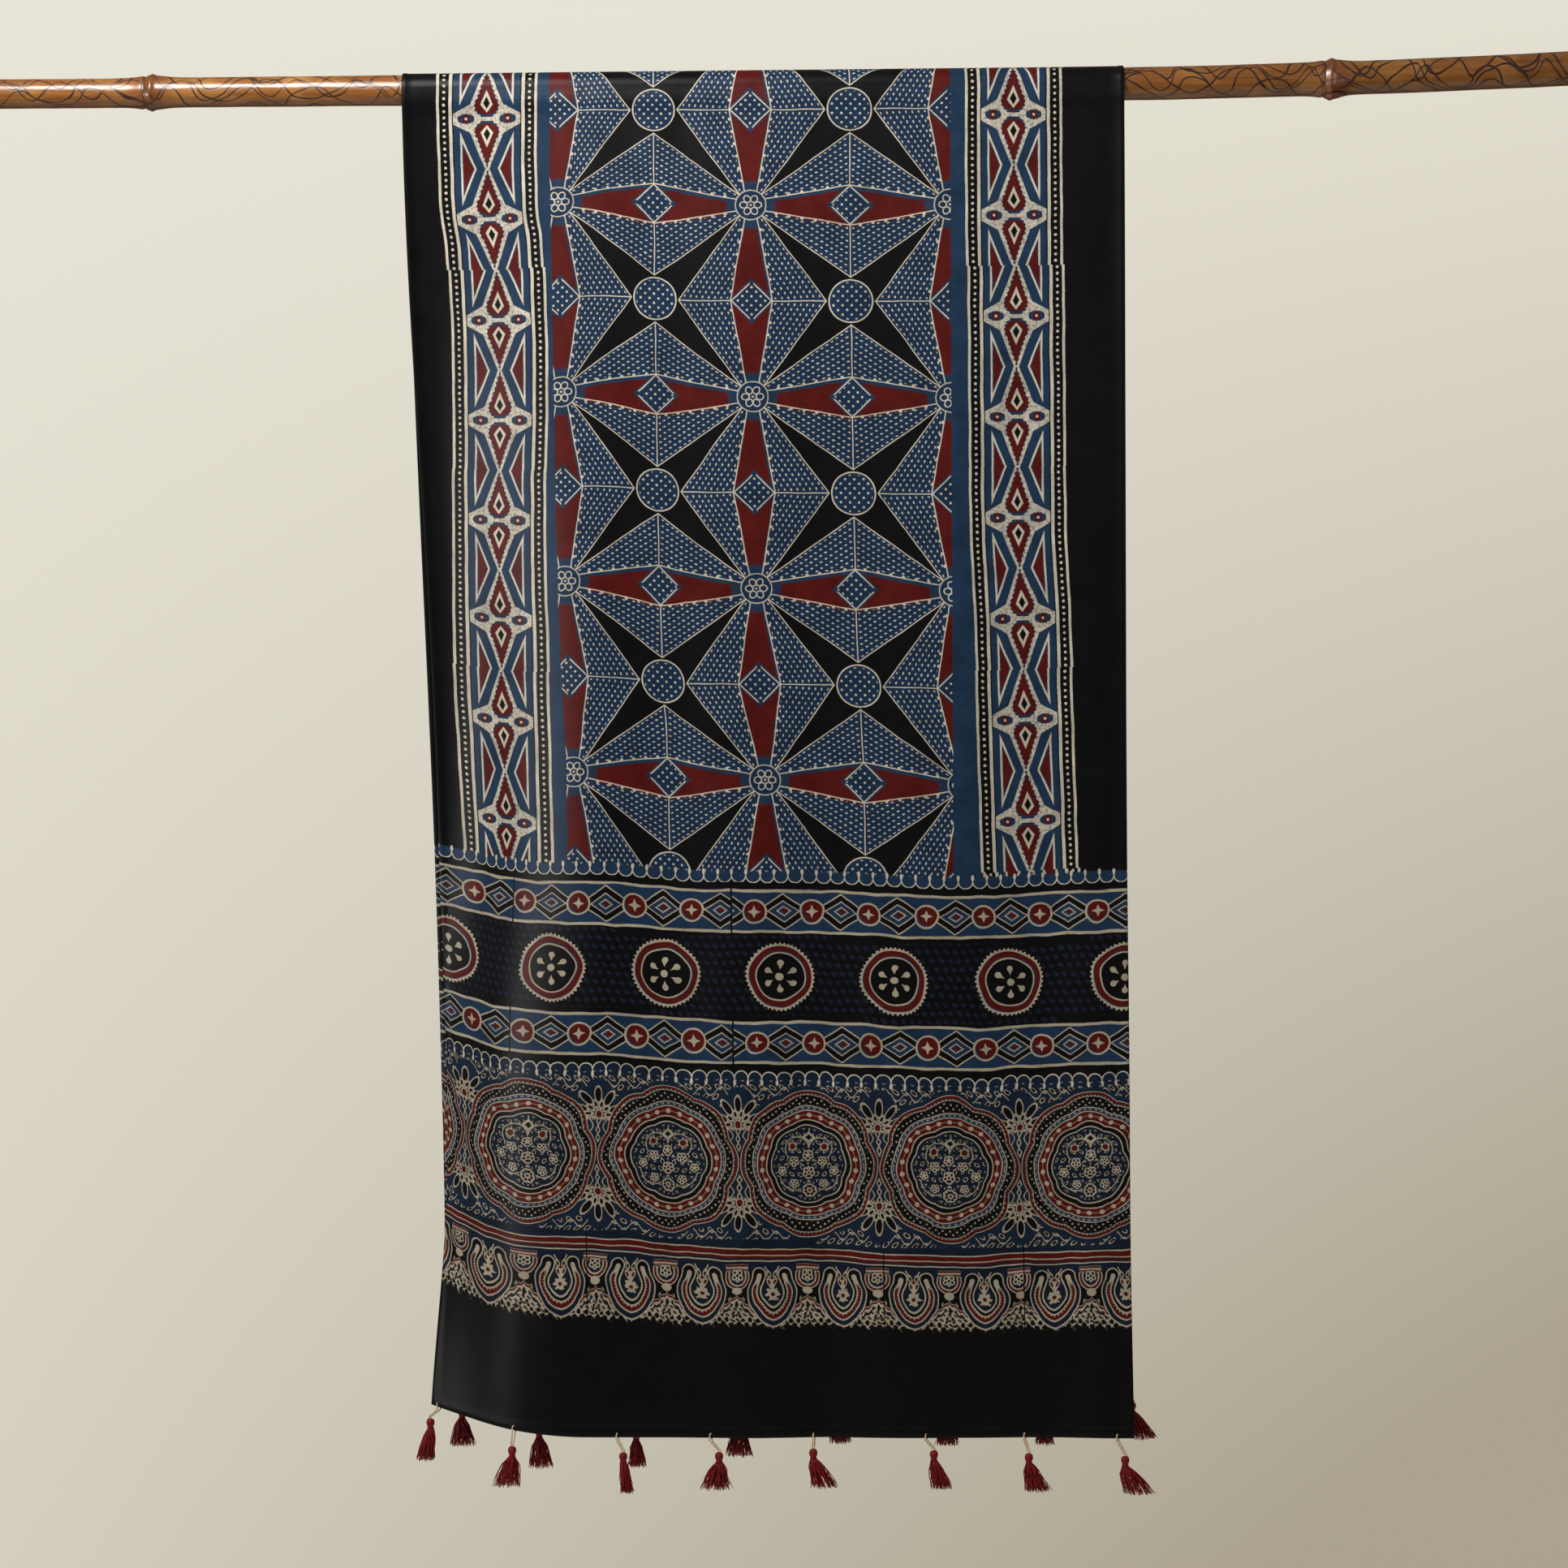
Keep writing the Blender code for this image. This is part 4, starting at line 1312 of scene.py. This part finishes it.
def bamboo_material():
    """Varnished bamboo: fine streaks along the culm, burnt curls, pale scratches and browner nodes."""
    material, shader = new_material("bamboo", 0.3)
    place = object_place()
    x, y, z = axes_of(place)
    centred = z - x * POLE_SLOPE
    turn = bearing(centred, -y) * POLE_MID_RADIUS
    skin_place = vector_of(x * 14.0, turn * 330.0, 0.0)
    streaks = noise_value(skin_place, 1.0, 4.0, 0.6)
    clouds = noise_value(place, 26.0, 3.0, 0.55)
    colour = over(srgb(148, 94, 42), srgb(104, 60, 25), clamped(streaks, 2.2, -0.6))
    colour = over(colour, srgb(186, 138, 74), clamped(clouds, 3.2, -1.6) * 0.7)
    bend_x, bend_y, _ = axes_of(Val(noise_of(vector_of(x, turn * 1.2, 0.0), 26.0, 1.0).outputs["Color"]))
    along = x * 1000.0 + scaled(bend_x, 30.0, -15.0)
    around = turn * 1000.0 + scaled(bend_y, 13.0, -6.5)
    burnt = burnt_lines(along, around, place)
    colour = over(colour, srgb(44, 18, 8), burnt)
    scratch_place = vector_of(x * 60.0, turn * 900.0, 3.0)
    scratch = noise_value(scratch_place, 1.0, 1.0)
    colour = over(colour, srgb(214, 176, 120), clamped(scratch, 12.0, -8.9) * 0.5)
    for node, shade in zip(POLE_NODES, (srgb(84, 44, 20), srgb(104, 46, 26))):
        off = abs(x - node)
        ring = clamped(off, -90.0, 1.25)
        colour = over(colour, shade, ring * 0.62)
        groove = clamped(abs(x - (node - 0.0052)), -700.0, 1.0)
        colour = over(colour, srgb(38, 20, 10), groove * 0.75)
    scar = reach((x - POLE_NODES[1] - 0.002) * 120.0, (turn + 0.0128) * 210.0) + scaled(streaks, 0.5, -0.25)
    colour = over(colour, srgb(52, 22, 12), inside(scar - 1.1, 0.12))
    colour = over(colour, srgb(140, 70, 48), inside(scar - 0.86, 0.12))
    for end in (POLE_LEFT, POLE_RIGHT):
        cut = clamped(abs(x - end), -1600.0, 1.2)
        rings = noise_value(place, 900.0, 2.0)
        colour = over(colour, srgb(205, 176, 126), cut * scaled(rings, 0.5, 0.55))
    plug(shader.inputs["Base Color"], colour)
    plug(shader.inputs["Roughness"], scaled(streaks, 0.22, 0.20) + burnt * 0.15)
    shader.inputs["Coat Weight"].default_value = 0.5
    shader.inputs["Coat Roughness"].default_value = 0.18
    bump_into(shader, streaks * 0.6 + clouds * 0.5 - burnt * 0.4, 0.35, 0.0006)
    return material


def cord_material():
    """Unbleached cotton cord."""
    material, shader = new_material("cotton_cord", 0.82)
    place = object_place()
    fuzz = noise_value(place, 900.0, 3.0, 0.7)
    tone = noise_value(place, 120.0, 2.0)
    colour = over(srgb(214, 188, 146), srgb(150, 118, 76), clamped(fuzz, 2.0, -0.75))
    colour = over(colour, srgb(232, 212, 176), clamped(tone, 2.0, -0.8) * 0.6)
    plug(shader.inputs["Base Color"], colour)
    shader.inputs["Sheen Weight"].default_value = 0.25
    bump_into(shader, fuzz, 0.5, 0.0002)
    return material


def thread_material():
    """Twisted silky thread, deep madder red with brighter strands."""
    material, shader = new_material("silky_thread", 0.42)
    place = object_place()
    shift = Val.tree.nodes.new("ShaderNodeVectorMath")
    shift.operation = "MULTIPLY"
    Val.tree.links.new(place.socket, shift.inputs[0])
    shift.inputs[1].default_value = (1.0, 1.0, 0.12)
    strands = noise_value(Val(shift.outputs[0]), 1500.0, 2.0, 0.6)
    twist = noise_value(place, 2600.0, 1.0)
    colour = over(srgb(98, 4, 12), srgb(150, 12, 26), clamped(strands, 2.8, -0.95))
    colour = over(colour, srgb(40, 4, 9), clamped(twist, 2.4, -1.0) * 0.5)
    plug(shader.inputs["Base Color"], colour)
    shader.inputs["Specular IOR Level"].default_value = 0.25
    shader.inputs["Sheen Weight"].default_value = 0.08
    shader.inputs["Sheen Roughness"].default_value = 0.35
    shader.inputs["Anisotropic"].default_value = 0.4
    bump_into(shader, twist, 0.4, 0.00015)
    return material


# ---------------------------------------------------------------- camera, light and floor


def area_light(name, place, aim, size, power, colour):
    data = bpy.data.lights.new(name, "AREA")
    data.shape = "SQUARE"
    data.size = size
    data.energy = power
    data.color = colour
    light = bpy.data.objects.new(name, data)
    bpy.context.collection.objects.link(light)
    light.location = place
    light.rotation_euler = (Vector(aim) - Vector(place)).to_track_quat("-Z", "Y").to_euler()
    return light


def build_studio():
    scene = bpy.context.scene
    camera_data = bpy.data.cameras.new("camera")
    camera_data.lens = 88.9
    camera_data.sensor_width = 36.0
    camera = bpy.data.objects.new("camera", camera_data)
    bpy.context.collection.objects.link(camera)
    camera.location = (0.0164, -3.013, -0.542)
    camera.rotation_euler = (math.radians(90), 0, 0)
    scene.camera = camera
    scene.view_settings.view_transform = "Standard"
    scene.view_settings.look = "None"
    area_light("key", (-0.55, -0.75, 0.60), (-0.05, 0, 0.0), 0.5, 19, (1.0, 0.98, 0.95))
    area_light("side", (-2.3, -1.5, -0.55), (0, 0, -0.7), 0.6, 20, (1.0, 0.98, 0.95))
    area_light("fill", (2.5, -1.9, 0.3), (0, 0, -0.4), 1.6, 14, (0.96, 0.98, 1.0))
    back = area_light("back", (0.8, 2.5, -0.2), (0, 0, -0.5), 2.0, 52, (1.0, 0.98, 0.95))
    back.visible_glossy = False  # no bright rim along the pole from the front
    world = bpy.data.worlds.new("studio")
    scene.world = world
    world.use_nodes = True
    Val.tree = world.node_tree
    ground = Val.tree.nodes["Background"]
    place = Val.tree.nodes.new("ShaderNodeTexCoord")
    x, _, z = axes_of(Val(place.outputs["Generated"]))
    # painted shade on the backdrop: its colour is lighter at the top and darker towards the bottom and the right, as
    # a lit wall looks
    lower = 0.14 - z
    shade = calc("ADD", scaled(lower, 1.74, 0.20), x * scaled(lower, 4.0, 0.45), clamp=True)
    colour = over(srgb(236, 232, 219), srgb(171, 163, 143), shade)
    plug(ground.inputs["Color"], colour)
    seen = Val(Val.tree.nodes.new("ShaderNodeLightPath").outputs["Is Camera Ray"])
    plug(ground.inputs["Strength"], scaled(seen, 0.82, 0.18))
    floor = bpy.data.meshes.new("floor")
    work = bmesh.new()
    bmesh.ops.create_circle(work, cap_ends=True, segments=64, radius=1.25)
    work.to_mesh(floor)
    work.free()
    stand = bpy.data.objects.new("floor", floor)
    bpy.context.collection.objects.link(stand)
    stand.location = (0, 0, -1.45)
    material, shader = new_material("floor", 0.8)
    shader.inputs["Base Color"].default_value = (*srgb(222, 216, 204), 1.0)
    floor.materials.append(material)


build_studio()
bamboo = bamboo_material()
cord = cord_material()
thread = thread_material()
stole = build_cloth(print_materials())
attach(stole, "root")
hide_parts("cloth")
pole = build_pole(bamboo)
for end, side, table in (("front", -1, FRONT_TASSELS), ("back", 1, BACK_TASSELS)):
    for number, row in enumerate(table, 1):
        name = f"{end}_{number}"
        seeded = random.Random(f"tassel {name}")
        build_loop(name, side, row, cord)
        build_tassel(name, side, row, thread, seeded)
